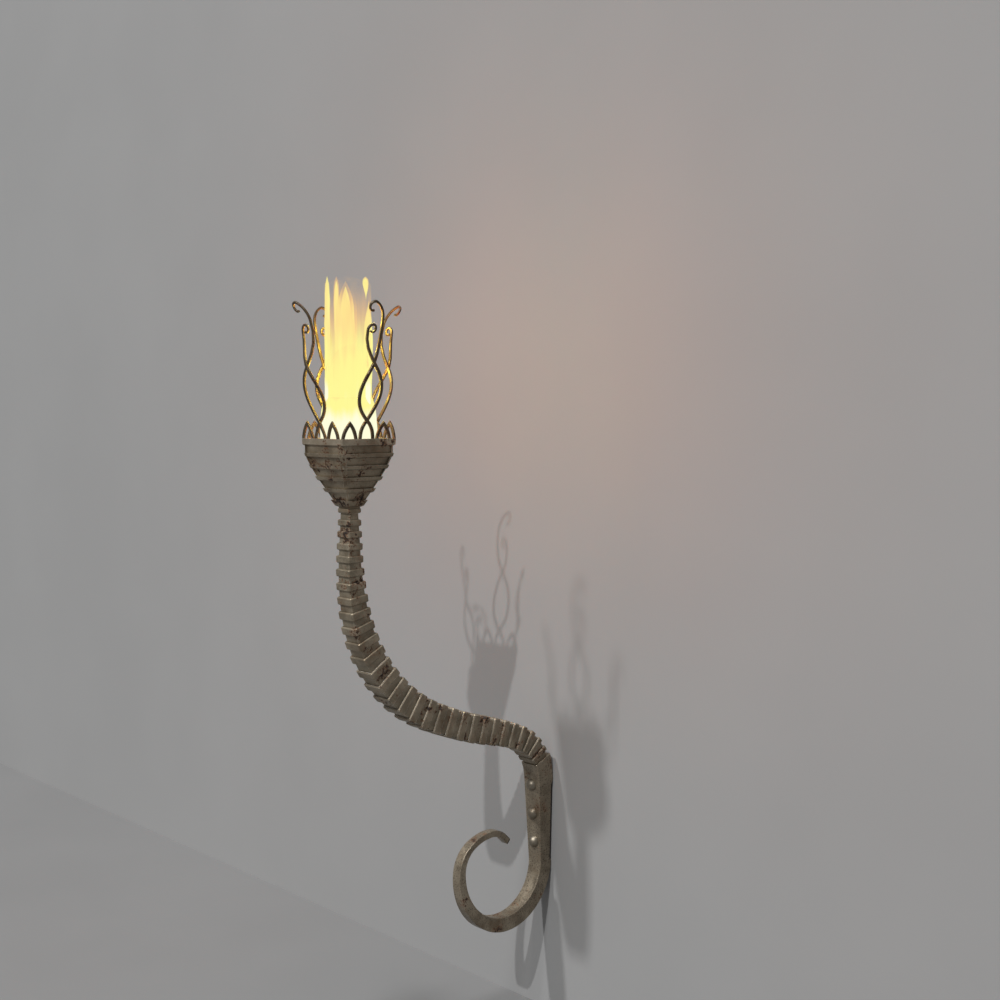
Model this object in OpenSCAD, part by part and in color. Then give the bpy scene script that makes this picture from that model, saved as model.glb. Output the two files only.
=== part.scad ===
// Wall-mounted torch sconce in forged iron.
// The wall is the plane y = 0 and the torch stands out from it along -Y, with +Z up.
// The origin is on the wall, at the middle bolt of the wall bar.

/* [Wall bar] */
// Width of the bar at its top end
bar_top_w = 37.4; // [30:0.1:46]
// Depth of the bar at its top end, out from the wall
bar_top_d = 34; // [28:0.5:44]
// Width of the bar where the scroll starts
bar_low_w = 29.5; // [22:0.1:36]
// Depth of the bar where the scroll starts
bar_low_d = 26.5; // [20:0.5:34]
// Flat length on the wall above the middle bolt
flat_up = 56; // [52:1:90]
// Flat length on the wall below the middle bolt
flat_down = 83; // [64:1:120]
// Turn of the bar's top end away from the wall, in degrees
bar_top_turn = 25; // [20:1:32]
// How much deeper the bar is at its top face than on the wall
bar_top_extra = 4; // [0:0.5:6]
// Chamfer along the bar's four edges
bar_edge = 1.8; // [0.8:0.1:3]

/* [Wall bolts] */
// Diameter of the bolts' shanks behind the wall plane
bolt_d = 10; // [8:0.5:12]
// Diameter of the bolts' necks, which fill the holes in the bar
bolt_neck_d = 12; // [10.5:0.5:14]
// Distance between neighbouring bolts
bolt_pitch = 50; // [40:1:52]
// Length of those shanks
bolt_reach = 60; // [40:1:90]
// Diameter of the domed heads
head_d = 20; // [16:0.5:24]
// Height of the domed heads
head_h = 8; // [5:0.5:9]
// Clearance round a bolt's neck in its hole, on the diameter
bolt_fit = 0.6; // [0.3:0.1:1]
// Depth of the flat seat that each head sits on
seat_depth = 0.9; // [0.6:0.1:2]

/* [Lower scroll] */
// Bend radius where the scroll leaves the wall
scroll_r1 = 90; // [80:1:110]
// Bend radius along the bottom and the far side
scroll_r2 = 101; // [90:1:120]
// Bend radius at the shoulder
scroll_r3 = 51; // [44:1:60]
// Bend radius over the top
scroll_r4 = 85; // [75:1:95]
// Bend radius behind the tip
scroll_r5 = 40; // [34:1:48]
// Straight length at the tip
scroll_tip_len = 11; // [8:1:20]
// Width of the scroll at its tip
scroll_tip_w = 13; // [10:0.5:18]
// Depth of the scroll at its tip
scroll_tip_d = 10.5; // [8:0.5:14]

/* [Arm] */
// Bend radius beside the wall
arm_r_wall = 90; // [80:1:110]
// Bend radius of the long run out from the wall
arm_r_out = 398; // [340:1:450]
// Bend radius where the run starts to rise
arm_r_rise = 744; // [650:2:900]
// Bend radius of the sweep up to the cup
arm_r_sweep = 257.5; // [240:0.5:290]
// Bend radius under the cup
arm_r_neck = 451; // [400:1:500]
// Straight length under the cup
arm_neck_len = 64; // [50:1:90]
// Width over the collars at the wall end
arm_wall_w = 36.5; // [30:0.1:42]
// Depth over the collars at the wall end
arm_wall_d = 35.5; // [30:0.1:40]
// Width over the collars at the cup end
arm_cup_w = 29.5; // [26:0.1:34]
// Depth over the collars at the cup end
arm_cup_d = 22.4; // [21:0.1:28]
// Extra width over the collars half way along
arm_belly_w = 7; // [0:0.5:10]
// Extra depth over the collars half way along
arm_belly_d = 18; // [6:0.5:20]
// Diameter of the tenon that enters the wall bar
tenon_d = 14; // [10:0.5:18]
// Length of that tenon
tenon_len = 20; // [12:1:26]

/* [Arm collars] */
// Number of collars along the arm
collar_count = 29; // [22:1:31]
// Height of the collars above the arm between them
collar_proud = 3; // [1.5:0.1:4]
// Share of the collars' spacing that is collar
collar_share = 0.58; // [0.4:0.01:0.7]
// Distance from the cup to the first collar
first_collar = 9.8; // [5:0.1:16]
// Distance from the wall bar to the cup side of the last collar
last_collar = 17.7; // [14:0.1:24]
// How much the collars draw together towards both ends
collar_swell = 0.122; // [0:0.001:0.16]
// How much more they draw together at the cup than at the wall
collar_skew = 0.0075; // [0:0.0005:0.01]
// Chamfer on the collars' edges
collar_edge = 1.5; // [0.6:0.1:2]
// Clearance all round between a collar and the arm
collar_fit = 0.35; // [0.25:0.05:0.6]

/* [Cup] */
// Width of the square rim
rim_w = 100; // [90:1:120]
// Height of the rim band
rim_h = 11; // [8:0.5:14]
// Height of the whole cup
cup_h = 112; // [106:1:130]
// Height of the cup's straight top part
cup_straight = 12; // [11:0.5:18]
// Thickness of the cup's wall
cup_wall = 2.6; // [2:0.1:3.5]
// Width of the cup's neck
neck_w = 25.2; // [24.6:0.1:32]
// Depth of the cup's neck
neck_d = 20.6; // [19:0.1:28]
// How full the cup's curve is
cup_fullness = 1.4; // [1.2:0.05:1.8]
// Depth of the first band below the rim
band_start = 22; // [19:0.5:26]
// Height of a band
band_h = 6.6; // [5:0.1:9]
// Height of the lowest band
low_band_h = 10; // [7:0.5:11]
// How far the bands stand out from the cup
band_proud = 1.8; // [1:0.1:3]
// How far the rim band stands out from the cup
rim_proud = 3.7; // [3:0.1:5]
// Height of the collar round the cup's neck
neck_collar_h = 7; // [4:0.5:8]
// Distance between that collar and the lowest band
neck_gap = 2.6; // [1.2:0.1:4]
// Thickness of the solid floor in the neck
cup_floor = 14; // [10:1:18]

/* [Crown] */
// Width of the crown's ribbons in the face of the cup
ribbon_w = 4.5; // [3.5:0.1:6]
// Thickness of the ribbons, out from the cup
ribbon_t = 3; // [2:0.1:3.6]
// Share of its width that a ribbon keeps at the end of a scroll
ribbon_end = 0.62; // [0.5:0.01:1]
// Spacing of the arches along a side
arch_pitch = 31; // [28:0.5:34]
// Half of the distance between an arch's feet
arch_half = 11.8; // [10:0.1:12.5]
// Height of an arch to the crossing of its ribbons
arch_h = 26; // [20:1:30]
// Sideways shift of the row of arches on each side
arch_shift = -2; // [-3:0.1:0]
// Bend of an arch's legs, in degrees
arch_turn = 36; // [20:1:44]
// Height of the second crossing above the rim
lens_top = 108.4; // [90:0.1:130]
// Sideways place of the second crossing
lens_shift = -5; // [-8:0.1:2]
// Greatest distance of a lens ribbon from its middle line
lens_half = 18.8; // [14:0.1:22]
// How far the crown leans out by the second crossing
crown_out = 22; // [14:0.5:28]
// How far it draws in again above that
crown_waist = 3.2; // [0:0.1:6]
// Height of that waist above the second crossing
waist_h = 30; // [24:1:36]
// How far the tall scrolls lean out beyond that
crown_flare = 21; // [12:0.5:28]
// Height over which they lean out
flare_h = 59; // [50:1:70]
// Lean of the arches by their tops
arch_lean = 1.5; // [0:0.1:3]
// Gap between the two ribbons where they cross
cross_gap = 0.2; // [0.1:0.05:0.5]
// Bend radius of the tall scrolls' stems
tall_r1 = 106; // [95:1:120]
// Bend radius of the tall scrolls' shoulders
tall_r2 = 30.4; // [26:0.2:36]
// Bend radius over the top of the tall scrolls
tall_r3 = 8; // [7:0.1:10]
// Bend radius of the tall scrolls' curls
tall_r4 = 6.3; // [5.6:0.1:7.4]
// Bend radius of the low scrolls' stems
low_r1 = 81; // [72:1:92]
// Bend radius of the low scrolls' shoulders
low_r2 = 9.5; // [8:0.1:12]
// Bend radius of the low scrolls' curls
low_r3 = 5.5; // [5:0.1:6.5]

/* [Burner] */
// Depth of the ledge inside the cup that carries the burner
ledge_depth = 9; // [7:0.5:11]
// Width of that ledge
ledge_w = 2; // [1.5:0.1:3]
// Thickness of the burner's square plate
plate_t = 2.5; // [2:0.1:4]
// Clearance all round the plate in the cup
plate_fit = 0.4; // [0.3:0.05:0.8]
// Outer diameter of the fuel can
can_d = 62; // [50:1:64]
// Height of the fuel can
can_h = 44; // [30:1:46]
// Wall thickness of the fuel can
can_wall = 1.4; // [1:0.1:2]
// Width of the can's rolled lip
lip_w = 3.4; // [2:0.1:5]
// Height of the can's rolled lip
lip_h = 2; // [1.5:0.1:3]
// Clearance round the wick and round the can, on the radius
wick_fit = 0.4; // [0.3:0.05:0.8]
// Diameter of the wire in the wick grid
wire_d = 3; // [2:0.1:4]
// Number of bars across the wick each way
grid_bars = 3; // [1:1:5]

/* [Cup fastener] */
// Diameter of the stud on top of the arm
stud_d = 10; // [8:0.5:12]
// Clearance round the stud, on the diameter
stud_fit = 0.6; // [0.3:0.1:1]
// Thickness of the washer
washer_t = 1.6; // [1:0.1:2.5]
// Outer diameter of the washer
washer_d = 19; // [17:0.5:20]
// Width across the nut's flats
nut_flats = 16; // [15:0.5:17]
// Height of the nut
nut_h = 8; // [6:0.5:10]

/* [Hidden] */
$fn = 48;
SIDES = ["front", "right", "back", "left"];
TURN_STEP = 6;    // degrees of bend between two rings of a thick bar
CURL_STEP = 15;   // degrees of bend between two rings of a thin ribbon
LEG_STEP = 7;     // degrees of bend between two rings of an arch's leg
LONG_STEP = 17;   // greatest length of a bend between two rings
SCROLL_TURNS = [115, 69, 57, 30, 43];
ARM_TURNS = [65.7, 10.3, -10.3, -55.4];
BELLY_SKEW = 0.9; // below 1, the arm is fullest on the wall side of its middle
SEAT = 0.1;       // gap between the cup and the bands shrunk on to it
TALL_TURNS = [36, 61, 55, 172];
LOW_TURNS = [36, 68, 238];
LENS_EASE = 0.06; // share of the lens's height, at each end, over which the crown stays upright
STEM_LEAN = 30;   // lean of a stem away from the vertical where it leaves the second crossing

iron = [0.40, 0.37, 0.32];
dark_iron = [0.30, 0.27, 0.24];
steel = [0.55, 0.55, 0.55];
wool = [0.85, 0.82, 0.74];

// ---------- plain helpers ----------

function mix(a, b, t) = a + (b - a) * t;
function clamp01(t) = max(0, min(1, t));
function smooth(t) = let (c = clamp01(t)) c * c * (3 - 2 * c);

// ---------- bends: a bar's line is a list of [radius, degrees] bends and [length, 0] straights ----------

function bend_length(b) = b[1] == 0 ? b[0] : b[0] * abs(b[1]) * PI / 180;

// Place and heading after a share t of one bend, from [across, up, heading]
function along_bend(p, b, t) =
    let (turn = b[1] * t,
         chord = b[1] == 0 ? b[0] * t : 2 * b[0] * sin(abs(turn) / 2),
         heading = p[2] + turn / 2)
    [p[0] + chord * cos(heading), p[1] + chord * sin(heading), p[2] + turn];

// Place and heading after a distance s along a list of bends
function walk(p, bends, s, i = 0) =
    let (whole = bend_length(bends[i]))
    i == len(bends) - 1 || s <= whole
        ? along_bend(p, bends[i], s / whole)
        : walk(along_bend(p, bends[i], 1), bends, s - whole, i + 1);

function total_length(bends, i = 0) =
    i == len(bends) ? 0 : bend_length(bends[i]) + total_length(bends, i + 1);

// Stations [across, up, heading, distance] at equal turns along a list of bends
function trace(p, bends, step, i = 0, s = 0) =
    i == len(bends) ? [[p[0], p[1], p[2], s]] :
    let (b = bends[i], whole = bend_length(b),
         n = b[1] == 0 ? 1 : max(ceil(abs(b[1]) / step), ceil(whole / LONG_STEP)))
    concat([for (j = [0:n - 1]) let (q = along_bend(p, b, j / n)) [q[0], q[1], q[2], s + whole * j / n]],
           trace(along_bend(p, b, 1), bends, step, i + 1, s + whole));

// ---------- lofts ----------

// A w by d rectangle round c with chamfered corners, w along side and d along out
function ring8(c, side, out, w, d, edge) =
    let (a = w / 2, b = d / 2)
    [for (q = [[a - edge, -b], [a, edge - b], [a, b - edge], [a - edge, b],
               [edge - a, b], [-a, b - edge], [-a, edge - b], [edge - a, -b]])
        c + q[0] * side + q[1] * out];

function ring4(c, side, out, w, d) =
    [for (q = [[1, -1], [1, 1], [-1, 1], [-1, -1]]) c + q[0] * w / 2 * side + q[1] * d / 2 * out];

// A closed solid through rings of equally many points
module loft(rings) {
    n = len(rings[0]);
    last = len(rings) - 1;
    polyhedron(
        points = [for (r = rings) each r],
        faces = concat(
            [[for (i = [0:n - 1]) i]],
            [[for (i = [0:n - 1]) last * n + n - 1 - i]],
            [for (k = [0:last - 1], i = [0:n - 1])
                let (a = k * n + i, b = k * n + (i + 1) % n) each [[a, a + n, b + n], [a, b + n, b]]]
        )
    );
}

// A block with every edge chamfered
module chamfered_block(w, d, h, edge) {
    intersection() {
        linear_extrude(h, center = true) chamfered_rect(w, d, edge);
        rotate([90, 0, 0]) linear_extrude(d, center = true) chamfered_rect(w, h, edge);
        rotate([90, 0, 90]) linear_extrude(w, center = true) chamfered_rect(d, h, edge);
    }
}

module chamfered_rect(w, d, edge) {
    a = w / 2;
    b = d / 2;
    polygon([[a - edge, -b], [a, edge - b], [a, b - edge], [a - edge, b],
             [edge - a, b], [-a, b - edge], [-a, edge - b], [edge - a, -b]]);
}

// ---------- wall bar ----------

// Depth and width of the bar at a height on its flat part
function bar_share(z) = (flat_up - z) / (flat_up + flat_down);
function bar_depth(z) = mix(bar_top_d, bar_low_d, bar_share(z));
function bar_width(z) = mix(bar_top_w, bar_low_w, bar_share(z));

flat_top = [-bar_top_d / 2, flat_up, 90];
bar_end = along_bend(flat_top, [arm_r_wall, bar_top_turn], 1);
scroll_bends = [
    [scroll_r1, -SCROLL_TURNS[0]], [scroll_r2, -SCROLL_TURNS[1]], [scroll_r3, -SCROLL_TURNS[2]],
    [scroll_r4, -SCROLL_TURNS[3]], [scroll_r5, -SCROLL_TURNS[4]], [scroll_tip_len, 0]];
scroll_len = total_length(scroll_bends);
tip_round = scroll_tip_d / 2;

// The scroll keeps its depth through the first bend, then thins, and ends in a rounded tip
function scroll_depth(s) = mix(bar_low_d, scroll_tip_d, smooth((s / scroll_len - 0.2) / 0.65));
function scroll_width(s) = mix(bar_low_w, scroll_tip_w, s / scroll_len);
function bar_ring(y, z, heading, w, d, edge) =
    ring8([0, y, z], [1, 0, 0], [0, sin(heading), -cos(heading)], w, d, edge);

module wall_bar_blank() {
    low = trace([-bar_low_d / 2, -flat_down, -90], scroll_bends, TURN_STEP);
    tip = low[len(low) - 1];
    loft(concat(
        [for (i = [0:5])
            let (p = along_bend(flat_top, [arm_r_wall, bar_top_turn], 1 - i / 5),
                 extra = bar_top_extra * pow(1 - i / 5, 2))
            bar_ring(p[0] + extra / 2 * sin(p[2]), p[1] - extra / 2 * cos(p[2]), p[2] - 180,
                     bar_top_w, bar_top_d + extra, bar_edge)],
        [for (p = low) let (edge = min(bar_edge * 1.4, 0.25 * scroll_depth(p[3])))
            bar_ring(p[0], p[1], p[2], scroll_width(p[3]), scroll_depth(p[3]),
                     mix(bar_edge, edge, clamp01(p[3] / scroll_r1)))],
        [for (a = [25:25:75])
            let (q = along_bend(tip, [tip_round * sin(a), 0], 1), left = cos(a))
            bar_ring(q[0], q[1], q[2], scroll_tip_w * left, scroll_tip_d * left,
                     0.25 * scroll_tip_d * left)]
    ));
}

module wall_bar() {
    color(iron) difference() {
        wall_bar_blank();
        for (z = [-bolt_pitch, 0, bolt_pitch]) {
            translate([0, 1, z]) rotate([90, 0, 0]) cylinder(d = bolt_neck_d + bolt_fit, h = bar_top_d + 2);
            translate([0, seat_depth - bar_depth(z), z]) rotate([90, 0, 0])
                cylinder(d = head_d + 1, h = bar_top_d);
        }
        at_bar_end() cylinder(d = tenon_d + bolt_fit, h = 2 * (tenon_len + 1), center = true);
    }
}

// The bar's end face, with +Z along the arm
module at_bar_end() {
    translate([0, bar_end[0], bar_end[1]]) rotate([bar_end[2] - 90, 0, 0]) children();
}

module wall_bolts() {
    color(dark_iron) for (z = [-bolt_pitch, 0, bolt_pitch]) {
        seat = bar_depth(z) - seat_depth;
        translate([0, -seat, z]) rotate([90, 0, 0]) union() {
            dome(head_d / 2, head_h);
            translate([0, 0, -seat]) cylinder(d = bolt_neck_d, h = seat + 0.5);
            translate([0, 0, -seat - bolt_reach]) cylinder(d = bolt_d, h = bolt_reach + 0.5);
        }
    }
}

// A spherical cap of radius r and height h
module dome(r, h) {
    ball = (r * r + h * h) / (2 * h);
    intersection() {
        translate([0, 0, h - ball]) sphere(r = ball);
        cylinder(r = r + 1, h = h + 1);
    }
}

// ---------- arm ----------

arm_bends = [
    [arm_r_wall, ARM_TURNS[0] - bar_top_turn], [arm_r_out, ARM_TURNS[1]], [arm_r_rise, ARM_TURNS[2]],
    [arm_r_sweep, ARM_TURNS[3]],
    [arm_r_neck, -(ARM_TURNS[0] + ARM_TURNS[1] + ARM_TURNS[2] + ARM_TURNS[3])], [arm_neck_len, 0]];
arm_len = total_length(arm_bends);
arm_top = walk(bar_end, arm_bends, arm_len);

// Width and depth over the collars at a share t of the arm, from the wall to the cup
function arm_w(t) = mix(arm_wall_w, arm_cup_w, t) + arm_belly_w * sin(180 * clamp01(t));
function arm_d(t) = mix(arm_wall_d, arm_cup_d, t) + arm_belly_d * sin(180 * pow(clamp01(t), BELLY_SKEW));

// The arm's section at a distance s from the wall bar, set in by slim from the collars' faces
function arm_ring(s, slim) =
    let (p = walk(bar_end, arm_bends, s), t = s / arm_len)
    bar_ring(p[0], p[1], p[2], arm_w(t) - 2 * slim, arm_d(t) - 2 * slim, bar_edge);

module arm_core() {
    color(dark_iron) union() {
        loft([for (p = trace(bar_end, arm_bends, TURN_STEP / 2)) arm_ring(p[3], collar_proud)]);
        at_bar_end() translate([0, 0, -tenon_len]) cylinder(d = tenon_d, h = tenon_len + 1);
        translate([0, arm_top[0], arm_top[1] - 1])
            cylinder(d = stud_d, h = cup_floor + washer_t + nut_h + 3);
    }
}

// Share of the arm, from the cup, at the cup side of collar k: the spacing is widest half way along
function collar_at(k) =
    let (x = (k - 1) / (collar_count - 1))
    mix(first_collar / arm_len, 1 - last_collar / arm_len, x)
        + collar_swell * (1 - 2 * x - cos(180 * x)) - collar_skew * (1 - cos(360 * x));

module arm_collar(k) {
    thick = collar_share * arm_len * (collar_at(k + 0.5) - collar_at(k - 0.5));
    t = 1 - collar_at(k) - thick / 2 / arm_len;
    p = walk(bar_end, arm_bends, arm_len * t);
    reach = 0.75 * thick + 1;
    color(iron) difference() {
        translate([0, p[0], p[1]]) rotate([p[2] - 90, 0, 0])
            chamfered_block(arm_w(t), arm_d(t), thick, collar_edge);
        loft([for (i = [-2:2]) arm_ring(arm_len * t + reach * i / 2, collar_proud - collar_fit)]);
    }
}

// ---------- cup ----------

cup_z = arm_top[1] + cup_h;
module at_cup() {
    translate([0, arm_top[0], cup_z]) children();
}

body_half = rim_w / 2 - rim_proud;
curve_end = cup_h - neck_collar_h - 1;
band_pitch = (cup_h - neck_collar_h - neck_gap - low_band_h - band_start) / 4;
function band_top(k) = -band_start - (k - 1) * band_pitch;
function band_low(k) = band_top(k) - (k == 5 ? low_band_h : band_h);

// Half width of the cup's outer face at a height z below the rim, towards a neck of half width h
function cup_half(z, h) =
    h + (body_half - h) * (1 - pow(clamp01((-z - cup_straight) / (curve_end - cup_straight)), cup_fullness));
function cup_section(z) = [cup_half(z, neck_w / 2), cup_half(z, neck_d / 2)];
function square_ring(z, half, edge = 0.8) =
    ring8([0, 0, z], [1, 0, 0], [0, 1, 0], 2 * half[0], 2 * half[1], edge);

cup_levels = concat([0, -cup_straight], [for (k = [1:5]) each [band_top(k), band_low(k)]], [-curve_end, -cup_h]);

module from_below(levels) {
    loft([for (i = [len(levels) - 1:-1:0]) levels[i]]);
}

module cup_shell() {
    ledge = body_half - cup_wall - ledge_w;
    floor_z = cup_floor - cup_h;
    inner = concat([for (z = cup_levels) if (z < -ledge_depth && z > floor_z) z], [floor_z]);
    color(iron) at_cup() difference() {
        from_below([for (z = cup_levels) square_ring(z, cup_section(z))]);
        from_below([for (z = concat([-ledge_depth + 0.01], inner))
            square_ring(z, [for (half = cup_section(z)) min(ledge, half - cup_wall)])]);
        from_below([for (z = [1, -ledge_depth]) square_ring(z, [1, 1] * (body_half - cup_wall))]);
        translate([0, 0, -cup_h - 1]) cylinder(d = stud_d + stud_fit, h = cup_floor + 2);
    }
}

module rim_band() {
    half = rim_w / 2;
    color(iron) at_cup() difference() {
        from_below([square_ring(0, [half, half]), square_ring(3 - rim_h, [half, half] - [0.4, 0.4]),
                    square_ring(-rim_h, [half, half] - [2.4, 2.4])]);
        from_below([for (z = [1, -rim_h - 1]) square_ring(z, [1, 1] * (body_half + SEAT), 0.8)]);
    }
}

module cup_band(k) {
    proud = [band_proud, band_proud];
    color(iron) at_cup() difference() {
        from_below([for (z = [band_top(k), band_low(k)]) square_ring(z, cup_section(z) + proud, 1.2)]);
        tapered_hole(band_top(k), band_low(k));
    }
}

// The cup's outer face from a top to a low level with the seat gap, run on past both
module tapered_hole(top, low) {
    a = cup_section(top);
    b = cup_section(low);
    over = 1 / (top - low);
    gap = [SEAT, SEAT];
    from_below([square_ring(top + 1, a + (a - b) * over + gap), square_ring(low - 1, b - (a - b) * over + gap)]);
}

module neck_collar() {
    w = neck_w / 2 + 1.3;
    d = neck_d / 2 + 1.3;
    color(iron) at_cup() difference() {
        from_below([square_ring(neck_collar_h - cup_h, [w - 0.6, d - 0.6]), square_ring(neck_collar_h - cup_h - 1, [w, d]),
                    square_ring(1.5 - cup_h, [w, d]), square_ring(-cup_h, [w - 0.9, d - 0.9])]);
        from_below([for (z = [1, -neck_collar_h - 1]) square_ring(z + neck_collar_h - cup_h,
            [neck_w / 2 + SEAT, neck_d / 2 + SEAT])]);
    }
}

module cup_washer() {
    color(steel) at_cup() translate([0, 0, cup_floor - cup_h]) difference() {
        cylinder(d = washer_d, h = washer_t);
        translate([0, 0, -1]) cylinder(d = stud_d + stud_fit, h = washer_t + 2);
    }
}

module cup_nut() {
    color(steel) at_cup() translate([0, 0, cup_floor + washer_t - cup_h]) difference() {
        cylinder(d = nut_flats / cos(30), h = nut_h, $fn = 6);
        translate([0, 0, -1]) cylinder(d = stud_d + stud_fit / 2, h = nut_h + 2);
    }
}

// ---------- crown ----------

// Distance of the ribbons' middle from the cup's axis at a height z above the rim
foot_out = (rim_w - ribbon_t) / 2;
function lens_share(z) = (z - arch_h) / (lens_top - arch_h);
function flare(z) =
    foot_out + arch_lean * smooth(z / arch_h)
    + (crown_out - arch_lean) * smooth((lens_share(z) - LENS_EASE) / (1 - 2 * LENS_EASE))
    - crown_waist * smooth((z - lens_top + 0.1 * waist_h) / (1.1 * waist_h))
    + crown_flare * pow(max(0, (z - lens_top - waist_h) / flare_h), 1.8);
function flare_slope(z) = (flare(z + 0.5) - flare(z - 0.5));

function unit(v) = v / norm(v);

// A ribbon's ring on the flared face: u along the face, z up, heading in that drawing.
// off moves it out from the face, so that one ribbon can pass before another.
function ribbon_ring(u, z, heading, w, t, off = 0) =
    let (lean = flare_slope(z),
         along = unit([cos(heading), -lean * sin(heading), sin(heading)]),
         out = unit([0, -1, -lean]),
         side = cross(out, along))
    ring4([u, -flare(z), z] + off * out, side, out, w, t);

module on_side(k) {
    at_cup() rotate([0, 0, 90 * k]) children();
}

// One leg of an arch of height h from its foot at -arch_half to its top at 0, as [u, z, heading]
function leg_top_heading(h) = 90 - atan2(arch_half, h) - arch_turn / 2;
function leg(h) =
    trace([-arch_half, 0, leg_top_heading(h) + arch_turn],
          [[norm([arch_half, h]) / (2 * sin(arch_turn / 2)), -arch_turn]], LEG_STEP);

// The side of the lens that bulges to +u, between the crossings, at a share t of its height
function lens_u(t, way) = mix(arch_shift, lens_shift, t) + way * lens_half * sin(180 * pow(t, 0.9));
function lens_z(t) = mix(arch_h, lens_top, t);
function lens_heading(t, way) =
    atan2(lens_z(t + 0.01) - lens_z(t - 0.01), lens_u(t + 0.01, way) - lens_u(max(0, t - 0.01), way));

// Rises to 1 at the first crossing and falls to -1 at the second, so the ribbons interlace
function weave(z) =
    z < arch_h ? smooth(z / (0.6 * arch_h)) :
    z < lens_top ? cos(180 * lens_share(z)) : smooth((z - lens_top) / (1.33 * waist_h)) - 1;

// The middle line of a long ribbon: a leg, one side of the lens and a scroll.
// way is +1 for the ribbon that stands on the left foot, and -1 for the other.
function long_ribbon(way, bends) =
    let (lens_n = 12,
         foot = [for (p = leg(arch_h)) [arch_shift + way * p[0], p[1], 90 + way * (p[2] - 90), 0]],
         lens = [for (i = [1:lens_n - 1]) let (t = i / lens_n)
                    [lens_u(t, way), lens_z(t), lens_heading(t, way), 0]],
         stem = trace([lens_shift, lens_top, 90 + way * STEM_LEAN], bends, CURL_STEP))
    concat(foot, lens, stem);

// way says which foot the ribbon stands on, and layer which ribbon passes in front first
module ribbon(way, layer, bends) {
    line = long_ribbon(way, bends);
    last = line[len(line) - 1][3];
    step = (ribbon_t + cross_gap) / 2;
    loft([for (i = [0:len(line) - 1])
        let (p = line[i],
             thin = mix(1, ribbon_end, p[3] / last),
             heading = i == 0 ? 90 : p[2])
        ribbon_ring(p[0], p[1], heading, ribbon_w * thin, ribbon_t * mix(1, 0.85, p[3] / last),
                    layer * step * weave(p[1]))]);
}

tall_bends = [[tall_r1, TALL_TURNS[0]], [tall_r2, TALL_TURNS[1]], [tall_r3, TALL_TURNS[2]], [tall_r4, TALL_TURNS[3]]];
low_bends = [[low_r1, -LOW_TURNS[0]], [low_r2, -LOW_TURNS[1]], [low_r3, -LOW_TURNS[2]]];

module tall_scroll(k) {
    color(iron) on_side(k) ribbon(-1, 1, tall_bends);
}

module low_scroll(k) {
    color(iron) on_side(k) ribbon(1, -1, low_bends);
}

// The two outer arches of one side, each bent from one ribbon with a mitred top
module arches(k) {
    mitre = ribbon_w / cos(leg_top_heading(arch_h));
    peak = arch_h - mitre / 2;
    line = leg(peak);
    n = len(line) - 1;
    color(iron) on_side(k) for (u = [arch_shift - arch_pitch, arch_shift + arch_pitch])
        loft(concat(
            [for (i = [0:n - 1]) ribbon_ring(u + line[i][0], line[i][1], i == 0 ? 90 : line[i][2],
                                             ribbon_w, ribbon_t)],
            [ribbon_ring(u, peak, 0, mitre, ribbon_t)],
            [for (i = [n - 1:-1:0]) ribbon_ring(u - line[i][0], line[i][1], i == 0 ? -90 : -line[i][2],
                                                ribbon_w, ribbon_t)]
        ));
}

// ---------- burner: lifts out of the cup for filling ----------

plate_top = plate_t - ledge_depth;

module burner_plate() {
    half = body_half - cup_wall - plate_fit;
    color(steel) at_cup() translate([0, 0, -ledge_depth]) difference() {
        linear_extrude(plate_t) chamfered_rect(2 * half, 2 * half, 1.5);
        translate([0, 0, -1]) cylinder(d = can_d + 2 * wick_fit, h = plate_t + 2);
    }
}

module fuel_can() {
    color(steel) at_cup() translate([0, 0, plate_top - can_h]) difference() {
        union() {
            cylinder(d = can_d, h = can_h + lip_h);
            translate([0, 0, can_h]) cylinder(d = can_d + 2 * lip_w, h = lip_h);
        }
        translate([0, 0, can_wall]) cylinder(d = can_d - 2 * can_wall, h = can_h + lip_h);
    }
}

lip_top = plate_top + lip_h;

module wick() {
    color(wool) at_cup() translate([0, 0, plate_top - can_h + can_wall])
        cylinder(d = can_d - 2 * can_wall - 2 * wick_fit, h = can_h - can_wall + lip_h - 0.3);
}

module wick_grid() {
    ring_r = can_d / 2 + lip_w / 2;
    color(dark_iron) at_cup() translate([0, 0, lip_top + wire_d / 2]) union() {
        rotate_extrude() translate([ring_r, 0]) circle(d = wire_d, $fn = 24);
        for (turn = [0, 90], i = [1:grid_bars]) {
            across = ring_r * (2 * i / (grid_bars + 1) - 1);
            reach = sqrt(ring_r * ring_r - across * across);
            rotate([0, 0, turn]) translate([across, 0, 0]) rotate([90, 0, 0])
                cylinder(d = wire_d - 0.4, h = 2 * reach, center = true, $fn = 24);
        }
    }
}

// ---------- the parts ----------

wall_bar();
wall_bolts();
arm_core();
for (k = [1:collar_count]) arm_collar(k);
cup_shell();
rim_band();
for (k = [1:5]) cup_band(k);
neck_collar();
cup_washer();
cup_nut();
for (k = [0:3]) tall_scroll(k);
for (k = [0:3]) low_scroll(k);
for (k = [0:3]) arches(k);
burner_plate();
fuel_can();
wick();
wick_grid();
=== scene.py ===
"""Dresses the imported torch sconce: forged wall bar, collared arm, banded cup, open crown, burner and flame."""

import logging
import math
from dataclasses import dataclass, field
from enum import Enum
from typing import Callable, Iterable, Optional, Sequence

import bmesh
import bpy
from mathutils import Matrix, Vector

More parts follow.
